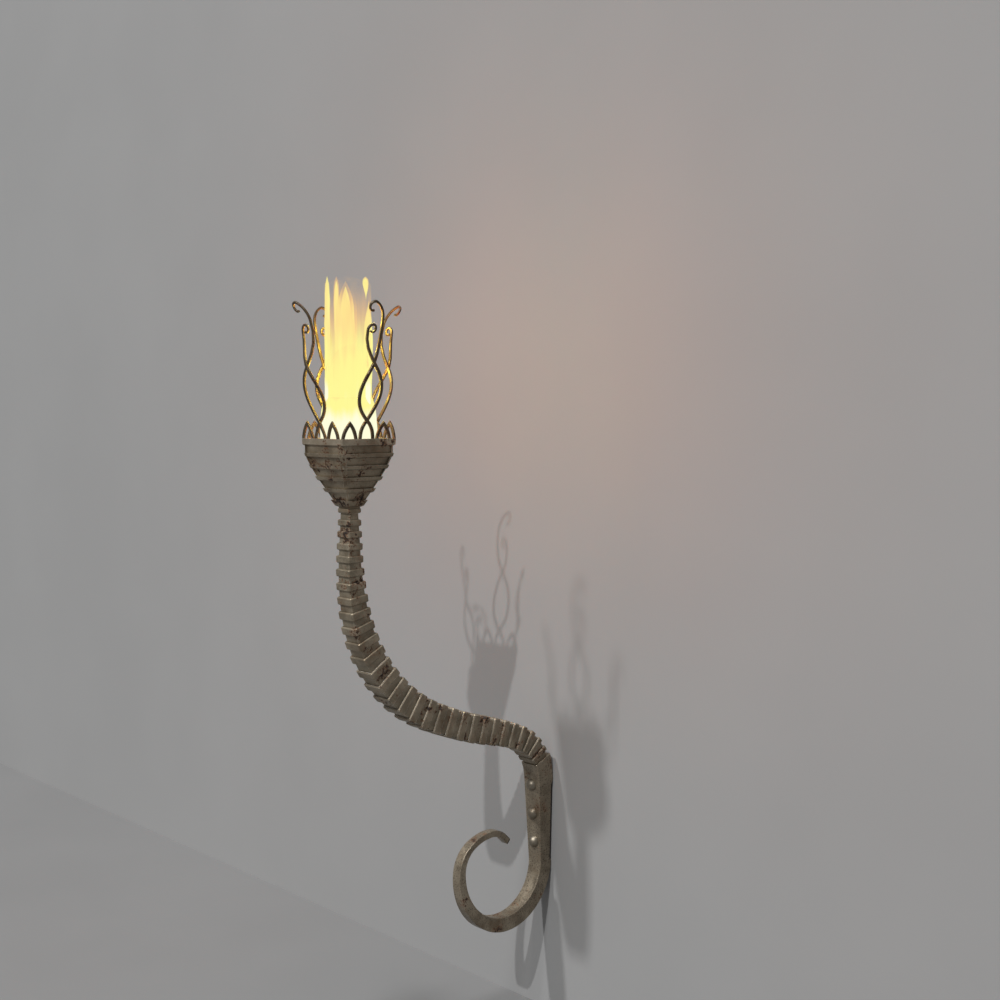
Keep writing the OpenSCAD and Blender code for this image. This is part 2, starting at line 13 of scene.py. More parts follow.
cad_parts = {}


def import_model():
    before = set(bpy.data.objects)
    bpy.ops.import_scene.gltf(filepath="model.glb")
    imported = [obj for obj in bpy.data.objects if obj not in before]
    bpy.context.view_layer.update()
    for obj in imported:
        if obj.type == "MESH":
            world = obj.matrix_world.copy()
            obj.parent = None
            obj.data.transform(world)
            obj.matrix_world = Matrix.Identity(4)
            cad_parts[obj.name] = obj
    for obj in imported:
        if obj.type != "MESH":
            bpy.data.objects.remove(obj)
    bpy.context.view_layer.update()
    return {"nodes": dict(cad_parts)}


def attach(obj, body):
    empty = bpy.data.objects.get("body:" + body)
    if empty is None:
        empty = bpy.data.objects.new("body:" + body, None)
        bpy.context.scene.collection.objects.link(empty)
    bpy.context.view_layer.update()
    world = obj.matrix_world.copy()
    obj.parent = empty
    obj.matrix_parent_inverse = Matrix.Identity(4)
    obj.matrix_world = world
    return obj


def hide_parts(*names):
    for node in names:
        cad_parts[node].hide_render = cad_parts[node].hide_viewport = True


log = logging.getLogger("torch")

MM = 0.001
SIDES = ("front", "right", "back", "left")


# ---------------------------------------------------------------- plain helpers


def mix(a: float, b: float, share: float) -> float:
    """Value at a share of the way from a to b."""
    return a + (b - a) * share


def clamp01(value: float) -> float:
    """Value held between 0 and 1."""
    return max(0.0, min(1.0, value))


def smooth(value: float) -> float:
    """Soft step from 0 to 1."""
    held = clamp01(value)
    return held * held * (3 - 2 * held)


@dataclass(frozen=True)
class Bend:
    """One bend of a bar: its radius and turn in degrees, or a straight length with no turn."""

    size: float
    turn: float = 0.0

    @property
    def length(self) -> float:
        """Length of the bar's line in this bend."""
        return self.size if self.turn == 0 else self.size * abs(math.radians(self.turn))


@dataclass(frozen=True)
class Station:
    """A place on a bar's line: across, up, heading in degrees and distance from the start, in millimetres."""

    across: float
    up: float
    heading: float
    run: float = 0.0

    def onward(self, bend: Bend, share: float) -> "Station":
        """Place after part of a bend.

        Args:
            bend: The bend that starts here.
            share: How much of it is passed, 1 for all of it.

        Returns:
            The new station.
        """
        turn = bend.turn * share
        if bend.turn == 0:
            chord = bend.size * share
        else:
            chord = 2 * bend.size * math.sin(math.radians(abs(turn) / 2))
        way = math.radians(self.heading + turn / 2)
        return Station(
            self.across + chord * math.cos(way),
            self.up + chord * math.sin(way),
            self.heading + turn,
            self.run + bend.length * share,
        )


@dataclass(frozen=True)
class Line:
    """A bar's middle line, made of bends one after the other."""

    start: Station
    bends: tuple[Bend, ...]

    @property
    def length(self) -> float:
        """Length of the whole line."""
        return sum(bend.length for bend in self.bends)

    def at(self, run: float) -> Station:
        """Station at a distance along the line, which may lie just past its ends.

        Args:
            run: Distance from the start.

        Returns:
            The station there.
        """
        here, left = self.start, run
        for number, bend in enumerate(self.bends):
            if left <= bend.length or number == len(self.bends) - 1:
                return here.onward(bend, left / bend.length)
            here, left = here.onward(bend, 1.0), left - bend.length
        return here

    def stations(self, pitch: float) -> list[Station]:
        """Evenly spaced stations along the line.

        Args:
            pitch: Greatest distance between two of them.

        Returns:
            The stations, both ends included.
        """
        count = max(2, math.ceil(self.length / pitch))
        return [self.at(self.length * i / count) for i in range(count + 1)]


class Plane(Enum):
    """The upright plane that a bar is bent in, with the axis that it turns about."""

    SIDE = "X"
    FACE = "Y"

    def place(self, across: float, up: float) -> Vector:
        """Point of the plane, in metres, from millimetres."""
        return Vector((0, across, up)) * MM if self is Plane.SIDE else Vector((across, 0, up)) * MM


@dataclass(frozen=True)
class Ring:
    """A bar's section at one station, with its size in millimetres.

    In the side plane, broad is the size along X and deep the size in the plane. In the face plane, broad is the
    size in the plane and deep the size along Y.
    """

    across: float
    up: float
    heading: float
    broad: float
    deep: float


# ---------------------------------------------------------------- modelling by hand


class Bench:
    """Blender's own modelling tools, used on one piece at a time as by hand."""

    @staticmethod
    def clear() -> None:
        """Leaves edit mode and deselects everything."""
        if bpy.context.object is not None and bpy.context.object.mode != "OBJECT":
            bpy.ops.object.mode_set(mode="OBJECT")
        bpy.ops.object.select_all(action="DESELECT")

    @classmethod
    def take(cls, piece: bpy.types.Object) -> None:
        """Makes a piece the only selected and active one."""
        cls.clear()
        piece.select_set(True)
        bpy.context.view_layer.objects.active = piece

    @classmethod
    def open(cls, piece: bpy.types.Object) -> None:
        """Starts edit mode on a piece with nothing selected."""
        cls.take(piece)
        bpy.ops.object.mode_set(mode="EDIT")
        bpy.ops.mesh.select_mode(type="FACE")
        bpy.ops.mesh.select_all(action="DESELECT")

    @staticmethod
    def pick_faces(piece: bpy.types.Object, wanted: Callable[[Vector, Vector], bool]) -> int:
        """Selects faces of the piece in edit mode by their place and normal.

        Args:
            piece: The piece in edit mode.
            wanted: Test of a face's centre and normal.

        Returns:
            How many faces are selected.
        """
        form = bmesh.from_edit_mesh(piece.data)
        for face in form.faces:
            face.select_set(wanted(face.calc_center_median(), face.normal))
        form.select_flush_mode()
        bmesh.update_edit_mesh(piece.data)
        return sum(face.select for face in form.faces)

    @classmethod
    def close(cls, piece: bpy.types.Object, angle: float = 32.0) -> bpy.types.Object:
        """Turns the faces outwards, leaves edit mode and shades by angle.

        Args:
            piece: The piece being shaped.
            angle: Edges sharper than this, in degrees, stay crisp.

        Returns:
            The same piece.
        """
        if piece.mode != "EDIT":
            cls.open(piece)
        bpy.ops.mesh.select_all(action="SELECT")
        bpy.ops.mesh.remove_doubles(threshold=1e-6)
        bpy.ops.mesh.normals_make_consistent(inside=False)
        bpy.ops.object.mode_set(mode="OBJECT")
        cls.take(piece)
        bpy.ops.object.shade_smooth_by_angle(angle=math.radians(angle))
        return piece

    @classmethod
    def section(cls, name: str, broad: float, deep: float, corner: float, rounds: int = 2) -> bpy.types.Object:
        """A flat rounded rectangle at the origin, facing up, left in edit mode.

        Args:
            name: Name of the new piece.
            broad: Size along X, in millimetres.
            deep: Size along Y.
            corner: Radius of the corners.
            rounds: Segments in each corner.

        Returns:
            The new piece.
        """
        cls.clear()
        bpy.ops.mesh.primitive_plane_add(size=1.0, location=(0, 0, 0))
        piece = bpy.context.object
        piece.name = piece.data.name = name
        bpy.ops.object.mode_set(mode="EDIT")
        bpy.ops.mesh.select_all(action="SELECT")
        bpy.ops.transform.resize(value=(broad * MM, deep * MM, 1), center_override=(0, 0, 0))
        bpy.ops.mesh.bevel(offset=corner * MM, segments=rounds, affect="VERTICES")
        bpy.ops.mesh.select_all(action="SELECT")
        return piece

    @classmethod
    def draw_out(cls, name: str, rings: Sequence[Ring], plane: Plane, corner: float, rounds: int = 2) -> bpy.types.Object:
        """Draws a bar out along its rings: extrude, turn and resize at each station.

        Args:
            name: Name of the new piece.
            rings: The sections from start to end.
            plane: The plane that the bar is bent in.
            corner: Radius of the corners at the start.
            rounds: Segments in each corner.

        Returns:
            The finished bar.
        """
        first = rings[0]
        piece = cls.section(name, first.broad, first.deep, corner, rounds)
        spot = plane.place(first.across, first.up)
        bpy.ops.transform.translate(value=spot)
        heading = 90.0
        cls.turn(plane, first.heading - heading, spot)
        last = first
        for ring in rings[1:]:
            step = plane.place(ring.across, ring.up) - plane.place(last.across, last.up)
            bpy.ops.mesh.extrude_region_move(TRANSFORM_OT_translate={"value": step})
            spot = plane.place(ring.across, ring.up)
            cls.turn(plane, ring.heading - last.heading, spot)
            in_plane = ring.deep / last.deep if plane is Plane.SIDE else ring.broad / last.broad
            athwart = ring.broad / last.broad if plane is Plane.SIDE else ring.deep / last.deep
            value = (athwart, in_plane, in_plane) if plane is Plane.SIDE else (in_plane, athwart, in_plane)
            bpy.ops.transform.resize(value=value, center_override=spot)
            last = ring
        return cls.close(piece)

    @staticmethod
    def turn(plane: Plane, degrees: float, spot: Vector) -> None:
        """Turns what is selected by a change of heading in the plane.

        Args:
            plane: The plane that the heading is in.
            degrees: Change of heading, towards up from across.
            spot: The point to turn about.
        """
        if abs(degrees) < 1e-6:
            return
        way = -1.0 if plane is Plane.SIDE else 1.0
        bpy.ops.transform.rotate(value=way * math.radians(degrees), orient_axis=plane.value, center_override=spot)

    @classmethod
    def rise(cls, name: str, levels: Sequence[tuple[float, float, float]], corner: float, rounds: int = 2) -> bpy.types.Object:
        """Builds a square form up through levels of (height, half width, half depth), left in edit mode.

        Args:
            name: Name of the new piece.
            levels: The levels from the lowest up, in millimetres.
            corner: Radius of the upright corners.
            rounds: Segments in each corner.

        Returns:
            The new piece, with its top face selected.
        """
        z, half_w, half_d = levels[0]
        piece = cls.section(name, 2 * half_w, 2 * half_d, corner, rounds)
        bpy.ops.transform.translate(value=(0, 0, z * MM))
        for next_z, next_w, next_d in levels[1:]:
            cls.lift(next_z - z, (next_w / half_w, next_d / half_d), next_z)
            z, half_w, half_d = next_z, next_w, next_d
        return piece

    @staticmethod
    def lift(rise: float, spread: tuple[float, float], height: float) -> None:
        """Extrudes the selected face straight up or down and resizes it about the Z axis.

        Args:
            rise: How far it goes up, in millimetres.
            spread: Change of size along X and Y.
            height: Height where it ends.
        """
        bpy.ops.mesh.extrude_region_move(TRANSFORM_OT_translate={"value": (0, 0, rise * MM)})
        bpy.ops.transform.resize(value=(spread[0], spread[1], 1), center_override=(0, 0, height * MM))

    @classmethod
    def pierce(cls, piece: bpy.types.Object, top_inset: float, low_inset: float) -> None:
        """Opens a hole right through a block from its top face to its bottom face.

        Args:
            piece: The block, in edit mode.
            top_inset: Width of the wall left at the top, in millimetres.
            low_inset: Width of the wall left at the bottom.
        """
        zs = [v.co.z for v in bmesh.from_edit_mesh(piece.data).verts]
        top, low = max(zs), min(zs)
        for level, inset in ((top, top_inset), (low, low_inset)):
            cls.pick_faces(piece, lambda c, n, z=level: abs(c.z - z) < 1e-6 and abs(n.z) > 0.99)
            bpy.ops.mesh.inset(thickness=inset * MM)
            form = bmesh.from_edit_mesh(piece.data)
            flat = [f for f in form.faces if abs(f.calc_center_median().z - level) < 1e-6 and abs(f.normal.z) > 0.99]
            middle = min(flat, key=lambda f: f.calc_center_median().to_2d().length)
            for face in form.faces:
                face.select_set(face is middle)
            bmesh.update_edit_mesh(piece.data)
            bpy.ops.mesh.delete(type="ONLY_FACE")
        bpy.ops.mesh.select_mode(type="EDGE")
        bpy.ops.mesh.select_all(action="DESELECT")
        bpy.ops.mesh.select_non_manifold()
        bpy.ops.mesh.bridge_edge_loops()
        bpy.ops.mesh.select_mode(type="FACE")

    @classmethod
    def modify(cls, piece: bpy.types.Object, kind: str, **settings: object) -> None:
        """Adds a modifier to a piece and applies it.

        Args:
            piece: The piece to change.
            kind: Blender's name of the modifier's type.
            settings: The modifier's own settings.
        """
        cls.take(piece)
        modifier = piece.modifiers.new(kind.title(), kind)
        for key, value in settings.items():
            setattr(modifier, key, value)
        bpy.ops.object.modifier_apply(modifier=modifier.name)

    @classmethod
    def soften(cls, piece: bpy.types.Object, width: float, segments: int = 2, angle: float = 30.0) -> None:
        """Rounds the piece's sharp edges.

        Args:
            piece: The piece to soften.
            width: Width of the rounding, in millimetres.
            segments: Faces across it.
            angle: Edges sharper than this, in degrees, are rounded.
        """
        cls.modify(piece, "BEVEL", width=width * MM, segments=segments, limit_method="ANGLE",
                   angle_limit=math.radians(angle), harden_normals=False)
        bpy.ops.object.shade_smooth_by_angle(angle=math.radians(38))

    @classmethod
    def hammer(cls, piece: bpy.types.Object, depth: float, grain: float) -> None:
        """Leaves the slight waves of hammering in the piece's own surface.

        Args:
            piece: The piece to work.
            depth: Greatest depth of the waves, in millimetres.
            grain: Size of a wave.
        """
        dents = bpy.data.textures.new(f"{piece.name}_dents", "CLOUDS")
        dents.noise_scale = grain * MM
        cls.modify(piece, "DISPLACE", texture=dents, strength=depth * MM, mid_level=0.5, texture_coords="GLOBAL")
        bpy.data.textures.remove(dents)

    @classmethod
    def fix_place(cls, piece: bpy.types.Object) -> None:
        """Moves the object's place into its mesh, so that the object sits at the origin."""
        cls.take(piece)
        bpy.ops.object.transform_apply(location=True, rotation=True, scale=True)

    @classmethod
    def twin(cls, piece: bpy.types.Object, name: str, move: Matrix) -> bpy.types.Object:
        """Copies a piece, with its own mesh, to another place.

        Args:
            piece: The piece to copy.
            name: The copy's name.
            move: Where the copy goes, from where the piece is.

        Returns:
            The copy.
        """
        copy = piece.copy()
        copy.data = piece.data.copy()
        copy.name = copy.data.name = name
        bpy.context.scene.collection.objects.link(copy)
        copy.data.transform(move)
        return copy

    @classmethod
    def join(cls, name: str, pieces: Sequence[bpy.types.Object]) -> bpy.types.Object:
        """Joins several pieces into one.

        Args:
            name: Name of the joined piece.
            pieces: The pieces, the first of which stays.

        Returns:
            The joined piece.
        """
        cls.clear()
        for piece in pieces:
            piece.select_set(True)
        bpy.context.view_layer.objects.active = pieces[0]
        bpy.ops.object.join()
        pieces[0].name = pieces[0].data.name = name
        return pieces[0]


# ---------------------------------------------------------------- finishes


@dataclass(frozen=True)
class Colour:
    """A colour as it looks in daylight, each part from 0 to 255."""

    red: float
    green: float
    blue: float

    @property
    def linear(self) -> tuple[float, float, float, float]:
        """The colour as Blender's sockets take it."""
        return (*(self._straight(part / 255) for part in (self.red, self.green, self.blue)), 1.0)

    @staticmethod
    def _straight(part: float) -> float:
        """One part of the colour without its display curve."""
        return part / 12.92 if part <= 0.04045 else ((part + 0.055) / 1.055) ** 2.4


class Wiring:
    """Short calls for building a node tree."""

    def __init__(self, tree: bpy.types.NodeTree) -> None:
        """Starts wiring one tree."""
        self.tree = tree

    def node(self, kind: str, **settings: object) -> bpy.types.Node:
        """Adds a node and sets its properties.

        Args:
            kind: The node's type name.
            settings: Its properties.

        Returns:
            The new node.
        """
        made = self.tree.nodes.new(kind)
        for key, value in settings.items():
            setattr(made, key, value)
        return made

    def join(self, source: bpy.types.NodeSocket, target: bpy.types.NodeSocket) -> None:
        """Links one socket to another."""
        self.tree.links.new(source, target)

    def feed(self, target: bpy.types.NodeSocket, value: object) -> None:
        """Links or sets a socket.

        Args:
            target: The input socket.
            value: A socket to link, or a plain value.
        """
        if isinstance(value, bpy.types.NodeSocket):
            self.join(value, target)
        elif value is not None:
            target.default_value = value

    def sum(self, how: str, *values: object, clamp: bool = False) -> bpy.types.NodeSocket:
        """A Math node.

        Args:
            how: The operation.
            values: Its inputs, sockets or numbers.
            clamp: Whether the result is held between 0 and 1.

        Returns:
            Its output.
        """
        made = self.node("ShaderNodeMath", operation=how, use_clamp=clamp)
        for socket, value in zip(made.inputs, values):
            self.feed(socket, value)
        return made.outputs[0]

    def ramp(self, value: bpy.types.NodeSocket, low: float, high: float) -> bpy.types.NodeSocket:
        """A soft step of a value between two limits.

        Args:
            value: What is tested.
            low: Where the step starts at 0.
            high: Where it reaches 1.

        Returns:
            The step.
        """
        made = self.node("ShaderNodeMapRange", interpolation_type="SMOOTHSTEP")
        self.feed(made.inputs["Value"], value)
        made.inputs["From Min"].default_value = low
        made.inputs["From Max"].default_value = high
        return made.outputs["Result"]

    def noise(self, place: bpy.types.NodeSocket, size: object, detail: float = 4.0, rough: float = 0.55) -> bpy.types.NodeSocket:
        """Noise with patches of a given size.

        Args:
            place: Coordinates in metres.
            size: Patches in a metre, a socket or a number.
            detail: Octaves.
            rough: How strong the fine octaves are.

        Returns:
            The noise, about 0.5 on average.
        """
        made = self.node("ShaderNodeTexNoise")
        self.join(place, made.inputs["Vector"])
        self.feed(made.inputs["Scale"], size)
        made.inputs["Detail"].default_value = detail
        made.inputs["Roughness"].default_value = rough
        return made.outputs["Fac"]

    def blend(self, share: object, a: object, b: object) -> bpy.types.NodeSocket:
        """Mixes two colours.

        Args:
            share: How much of the second, a socket or a number.
            a: The first colour, a socket or four numbers.
            b: The second.

        Returns:
            The mixed colour.
        """
        made = self.node("ShaderNodeMix", data_type="RGBA")
        self.feed(made.inputs[0], share)
        self.feed(made.inputs[6], a)
        self.feed(made.inputs[7], b)
        return made.outputs[2]


class Effects:
    """Shader groups that several finishes share, each built once."""

    _built: dict[str, bpy.types.NodeTree] = {}

    @classmethod
    def _start(cls, name: str, inputs: Iterable[tuple[str, str, float]], outputs: Iterable[tuple[str, str]]) -> tuple[
        bpy.types.NodeTree, Wiring, bpy.types.Node, bpy.types.Node
    ]:
        """Opens a new group with its sockets.

        Args:
            name: The group's name.
            inputs: Name, type and start value of each input.
            outputs: Name and type of each output.

        Returns:
            The tree, its wiring, and its input and output nodes.
        """
        tree = bpy.data.node_groups.new(name, "ShaderNodeTree")
        for label, kind, value in inputs:
            socket = tree.interface.new_socket(label, in_out="INPUT", socket_type=kind)
            if kind == "NodeSocketFloat":
                socket.default_value = value
        for label, kind in outputs:
            tree.interface.new_socket(label, in_out="OUTPUT", socket_type=kind)
        wires = Wiring(tree)
        cls._built[name] = tree
        return tree, wires, wires.node("NodeGroupInput"), wires.node("NodeGroupOutput")

    @classmethod
    def forging(cls) -> bpy.types.NodeTree:
        """Hammer marks, scale, and the specks and stains of rust on old forged iron.

        Returns:
            The group, with Place, Dents and Rust inputs and Height, Tone, Grit, Rust, Core and Stain outputs.
        """
        name = "forging_marks"
        if name in cls._built:
            return cls._built[name]
        tree, w, source, sink = cls._start(
            name,
            [("Place", "NodeSocketVector", 0), ("Dents", "NodeSocketFloat", 90), ("Rust", "NodeSocketFloat", 0.3)],
            [(label, "NodeSocketFloat") for label in ("Height", "Tone", "Grit", "Rust", "Core", "Stain")],
        )
        place = source.outputs["Place"]
        dents = w.node("ShaderNodeTexVoronoi", feature="SMOOTH_F1")
        w.join(place, dents.inputs["Vector"])
        w.join(source.outputs["Dents"], dents.inputs["Scale"])
        dents.inputs["Smoothness"].default_value = 0.6
        broad = w.noise(place, 38.0, 3.0)
        scale = w.noise(place, 380.0, 5.0, 0.66)
        speck = w.noise(place, 250.0, 5.0, 0.7)
        cluster = w.noise(place, 31.0, 2.0)
        lump = w.sum("ADD", speck, w.sum("MULTIPLY", w.sum("SUBTRACT", cluster, 0.5), 1.15))
        over = w.sum("SUBTRACT", lump, w.sum("SUBTRACT", 0.84, w.sum("MULTIPLY", source.outputs["Rust"], 0.4)))
        rust = w.ramp(over, 0.0, 0.03)
        core = w.ramp(over, 0.04, 0.085)
        stain = w.ramp(w.sum("ADD", w.noise(place, 21.0, 4.0, 0.6), w.sum("MULTIPLY", w.sum("SUBTRACT", scale, 0.5), 0.5)), 0.52, 0.68)
        height = w.sum("ADD", w.sum("MULTIPLY", dents.outputs["Distance"], 0.5), w.sum("MULTIPLY", scale, 0.75))
        height = w.sum("SUBTRACT", height, w.sum("MULTIPLY", core, 0.3))
        tone = w.sum("ADD", w.sum("MULTIPLY", broad, 0.55), w.sum("MULTIPLY", scale, 0.45))
        for label, value in (("Height", height), ("Tone", w.ramp(tone, 0.38, 0.62)), ("Grit", w.ramp(scale, 0.36, 0.64)),
                             ("Rust", rust), ("Core", core), ("Stain", stain)):
            w.join(value, sink.inputs[label])
        return tree

    @classmethod
    def worn_and_highlight_edges(cls) -> bpy.types.NodeTree:
        """Edges where the scale is rubbed off; on the near-white collar finish they are painted highlight as well.

        Returns:
            The group, with a Place input and a Wear output.
        """
        name = "worn_and_highlight_edges"
        if name in cls._built:
            return cls._built[name]
        tree, w, source, sink = cls._start(
            name,
            [("Place", "NodeSocketVector", 0), ("Reach", "NodeSocketFloat", 0.0012)],
            [("Wear_and_highlight", "NodeSocketFloat")],
        )
        bevel = w.node("ShaderNodeBevel", samples=6)
        w.join(source.outputs["Reach"], bevel.inputs["Radius"])
        shape = w.node("ShaderNodeNewGeometry")
        facing = w.node("ShaderNodeVectorMath", operation="DOT_PRODUCT")
        w.join(bevel.outputs["Normal"], facing.inputs[0])
        w.join(shape.outputs["Normal"], facing.inputs[1])
        bent = w.ramp(w.sum("SUBTRACT", 1.0, facing.outputs["Value"]), 0.01, 0.08)
        rubbed = w.ramp(w.noise(source.outputs["Place"], 210.0, 5.0, 0.65), 0.3, 0.5)
        w.join(w.sum("MULTIPLY", bent, rubbed), sink.inputs["Wear_and_highlight"])
        return tree


@dataclass(frozen=True)
class ForgedIron:
    """Weathered forged iron: brown scale, rubbed edges, and clusters of rust specks. Where its rubbed-edge colour is
    near white it is painted highlight, and faces marked on the mesh take painted shade.
    """

    name: str
    scale: Colour = Colour(140, 128, 108)
    shade: Colour = Colour(106, 94, 77)
    bare_and_highlight: Colour = Colour(222, 212, 194)
    rust: Colour = Colour(114, 72, 38)
    core: Colour = Colour(38, 26, 17)
    stain: Colour = Colour(96, 73, 47)
    rust_share: float = 0.45
    dents: float = 90.0
    relief: float = 0.5
    metal: float = 0.6
    rough: tuple[float, float] = (0.36, 0.58)
    edge_reach: float = 0.9
    edge_wear_and_highlight: float = 0.9
    bare_and_highlight_metal: float = 1.0

    def make(self) -> bpy.types.Material:
        """Builds the material.

        Returns:
            The finished material.
        """
        material = bpy.data.materials.new(self.name)
        material.use_nodes = True
        w = Wiring(material.node_tree)
        shader = material.node_tree.nodes["Principled BSDF"]
        place = w.node("ShaderNodeTexCoord").outputs["Object"]
        marks = w.node("ShaderNodeGroup", node_tree=Effects.forging())
        w.join(place, marks.inputs["Place"])
        marks.inputs["Dents"].default_value = self.dents
        marks.inputs["Rust"].default_value = self.rust_share
        edges = w.node("ShaderNodeGroup", node_tree=Effects.worn_and_highlight_edges())
        w.join(place, edges.inputs["Place"])
        edges.inputs["Reach"].default_value = self.edge_reach * MM
        # rubbed-edge wear; with the near-white, hardly metallic edge colour of the later collars it is painted
        # highlight as well
        wear_and_highlight = w.sum("MULTIPLY", edges.outputs["Wear_and_highlight"], w.sum("SUBTRACT", self.edge_wear_and_highlight, marks.outputs["Rust"]), clamp=True)
        colour = w.blend(marks.outputs["Tone"], self.shade.linear, self.scale.linear)
        colour = w.blend(w.sum("MULTIPLY", marks.outputs["Stain"], 0.5), colour, self.stain.linear)
        colour = w.blend(w.sum("MULTIPLY", marks.outputs["Rust"], 0.9), colour, self.rust.linear)
        # painted shade: faces marked on the mesh take the dark core colour and lose their rubbed edges
        painted_gap_shade = w.node("ShaderNodeAttribute", attribute_name="painted_gap_shade").outputs["Fac"]
        colour = w.blend(w.sum("MAXIMUM", marks.outputs["Core"], painted_gap_shade), colour, self.core.linear)
        wear_and_highlight = w.sum("MULTIPLY", wear_and_highlight, w.sum("SUBTRACT", 1.0, painted_gap_shade))
        w.join(w.blend(wear_and_highlight, colour, self.bare_and_highlight.linear), shader.inputs["Base Color"])
        dull = w.sum("ADD", self.rough[0], w.sum("MULTIPLY", marks.outputs["Grit"], self.rough[1] - self.rough[0]))
        dull = w.sum("ADD", dull, w.sum("MULTIPLY", marks.outputs["Rust"], 0.3))
        w.join(w.sum("SUBTRACT", dull, w.sum("MULTIPLY", wear_and_highlight, 0.16), clamp=True), shader.inputs["Roughness"])
        scaled = w.sum("MULTIPLY", w.sum("SUBTRACT", 1.0, marks.outputs["Rust"]), self.metal)
        w.join(w.sum("ADD", scaled, w.sum("MULTIPLY", wear_and_highlight, w.sum("SUBTRACT", self.bare_and_highlight_metal, scaled))), shader.inputs["Metallic"])
        bump = w.node("ShaderNodeBump")
        bump.inputs["Strength"].default_value = self.relief
        bump.inputs["Distance"].default_value = 0.9 * MM
        w.join(marks.outputs["Height"], bump.inputs["Height"])
        w.join(bump.outputs["Normal"], shader.inputs["Normal"])
        return material


@dataclass(frozen=True)
class SheetSteel:
    """Plain rolled steel with heat colours and soot from the flame above it."""

    name: str
    steel: Colour = Colour(150, 148, 142)
    soot: Colour = Colour(28, 24, 20)
    soot_share: float = 0.4

    def make(self) -> bpy.types.Material:
        """Builds the material.

        Returns:
            The finished material.
        """
        material = bpy.data.materials.new(self.name)
        material.use_nodes = True
        w = Wiring(material.node_tree)
        shader = material.node_tree.nodes["Principled BSDF"]
        place = w.node("ShaderNodeTexCoord").outputs["Object"]
        streak = w.node("ShaderNodeMapping")
        streak.inputs["Scale"].default_value = (1, 1, 0.15)
        w.join(place, streak.inputs["Vector"])
        brushed = w.noise(streak.outputs["Vector"], 900.0, 4.0, 0.6)
        sooty = w.ramp(w.noise(place, 60.0, 5.0, 0.6), 0.62 - 0.3 * self.soot_share, 0.8 - 0.3 * self.soot_share)
        heat = w.blend(w.noise(place, 30.0, 2.0), Colour(150, 120, 84).linear, self.steel.linear)
        w.join(w.blend(sooty, heat, self.soot.linear), shader.inputs["Base Color"])
        shader.inputs["Metallic"].default_value = 0.9
        w.join(w.sum("ADD", 0.28, w.sum("MULTIPLY", w.sum("ADD", brushed, sooty), 0.25)), shader.inputs["Roughness"])
        bump = w.node("ShaderNodeBump")
        bump.inputs["Strength"].default_value = 0.2
        bump.inputs["Distance"].default_value = 0.2 * MM
        w.join(brushed, bump.inputs["Height"])
        w.join(bump.outputs["Normal"], shader.inputs["Normal"])
        return material


@dataclass(frozen=True)
class WickFibre:
    """Packed mineral fibre, charred where it burns."""

    name: str
    fibre: Colour = Colour(196, 186, 160)
    char: Colour = Colour(40, 32, 26)

    def make(self) -> bpy.types.Material:
        """Builds the material.

        Returns:
            The finished material.
        """
        material = bpy.data.materials.new(self.name)
        material.use_nodes = True
        w = Wiring(material.node_tree)
        shader = material.node_tree.nodes["Principled BSDF"]
        place = w.node("ShaderNodeTexCoord").outputs["Object"]
        strand = w.node("ShaderNodeTexWave", wave_type="BANDS", bands_direction="DIAGONAL")
        w.join(place, strand.inputs["Vector"])
        strand.inputs["Scale"].default_value = 260.0
        strand.inputs["Distortion"].default_value = 5.0
        strand.inputs["Detail"].default_value = 3.0
        burnt = w.ramp(w.noise(place, 55.0, 5.0, 0.65), 0.42, 0.6)
        lit = w.blend(w.sum("MULTIPLY", strand.outputs["Fac"], 0.5), self.fibre.linear, Colour(120, 104, 78).linear)
        w.join(w.blend(burnt, lit, self.char.linear), shader.inputs["Base Color"])
        shader.inputs["Roughness"].default_value = 0.95
        bump = w.node("ShaderNodeBump")
        bump.inputs["Strength"].default_value = 0.8
        bump.inputs["Distance"].default_value = 0.8 * MM
        w.join(strand.outputs["Fac"], bump.inputs["Height"])
        w.join(bump.outputs["Normal"], shader.inputs["Normal"])
        return material


@dataclass(frozen=True)
class Fire:
    """Glowing gas, coloured by the heat that its pieces carry: near white, yellow, and thin orange where it cools."""

    name: str
    core: Colour = Colour(255, 254, 220)
    body: Colour = Colour(255, 249, 152)
    tip: Colour = Colour(255, 206, 140)

    def make(self) -> bpy.types.Material:
        """Builds the material.

        Returns:
            The finished material.
        """
        material = bpy.data.materials.new(self.name)
        material.use_nodes = True
        w = Wiring(material.node_tree)
        shader = material.node_tree.nodes["Principled BSDF"]
        place = w.node("ShaderNodeTexCoord").outputs["Object"]
        heat = w.node("ShaderNodeAttribute", attribute_name="gas_heat")
        streak = w.node("ShaderNodeMapping")
        streak.inputs["Scale"].default_value = (1, 1, 0.07)
        w.join(place, streak.inputs["Vector"])
        lick = w.noise(streak.outputs["Vector"], 85.0, 2.0, 0.45)
        level = w.sum("ADD", heat.outputs["Fac"], w.sum("MULTIPLY", w.sum("SUBTRACT", lick, 0.5), 0.5))
        colour = w.blend(w.ramp(level, 0.3, 0.62), self.tip.linear, self.body.linear)
        shader.inputs["Base Color"].default_value = (0, 0, 0, 1)
        shader.inputs["Roughness"].default_value = 1.0
        shader.inputs["Specular IOR Level"].default_value = 0.0
        w.join(w.blend(w.ramp(level, 0.75, 1.15), colour, self.core.linear), shader.inputs["Emission Color"])
        shader.inputs["Emission Strength"].default_value = 1.0
        w.join(w.ramp(level, 0.0, 0.85), shader.inputs["Alpha"])
        return material


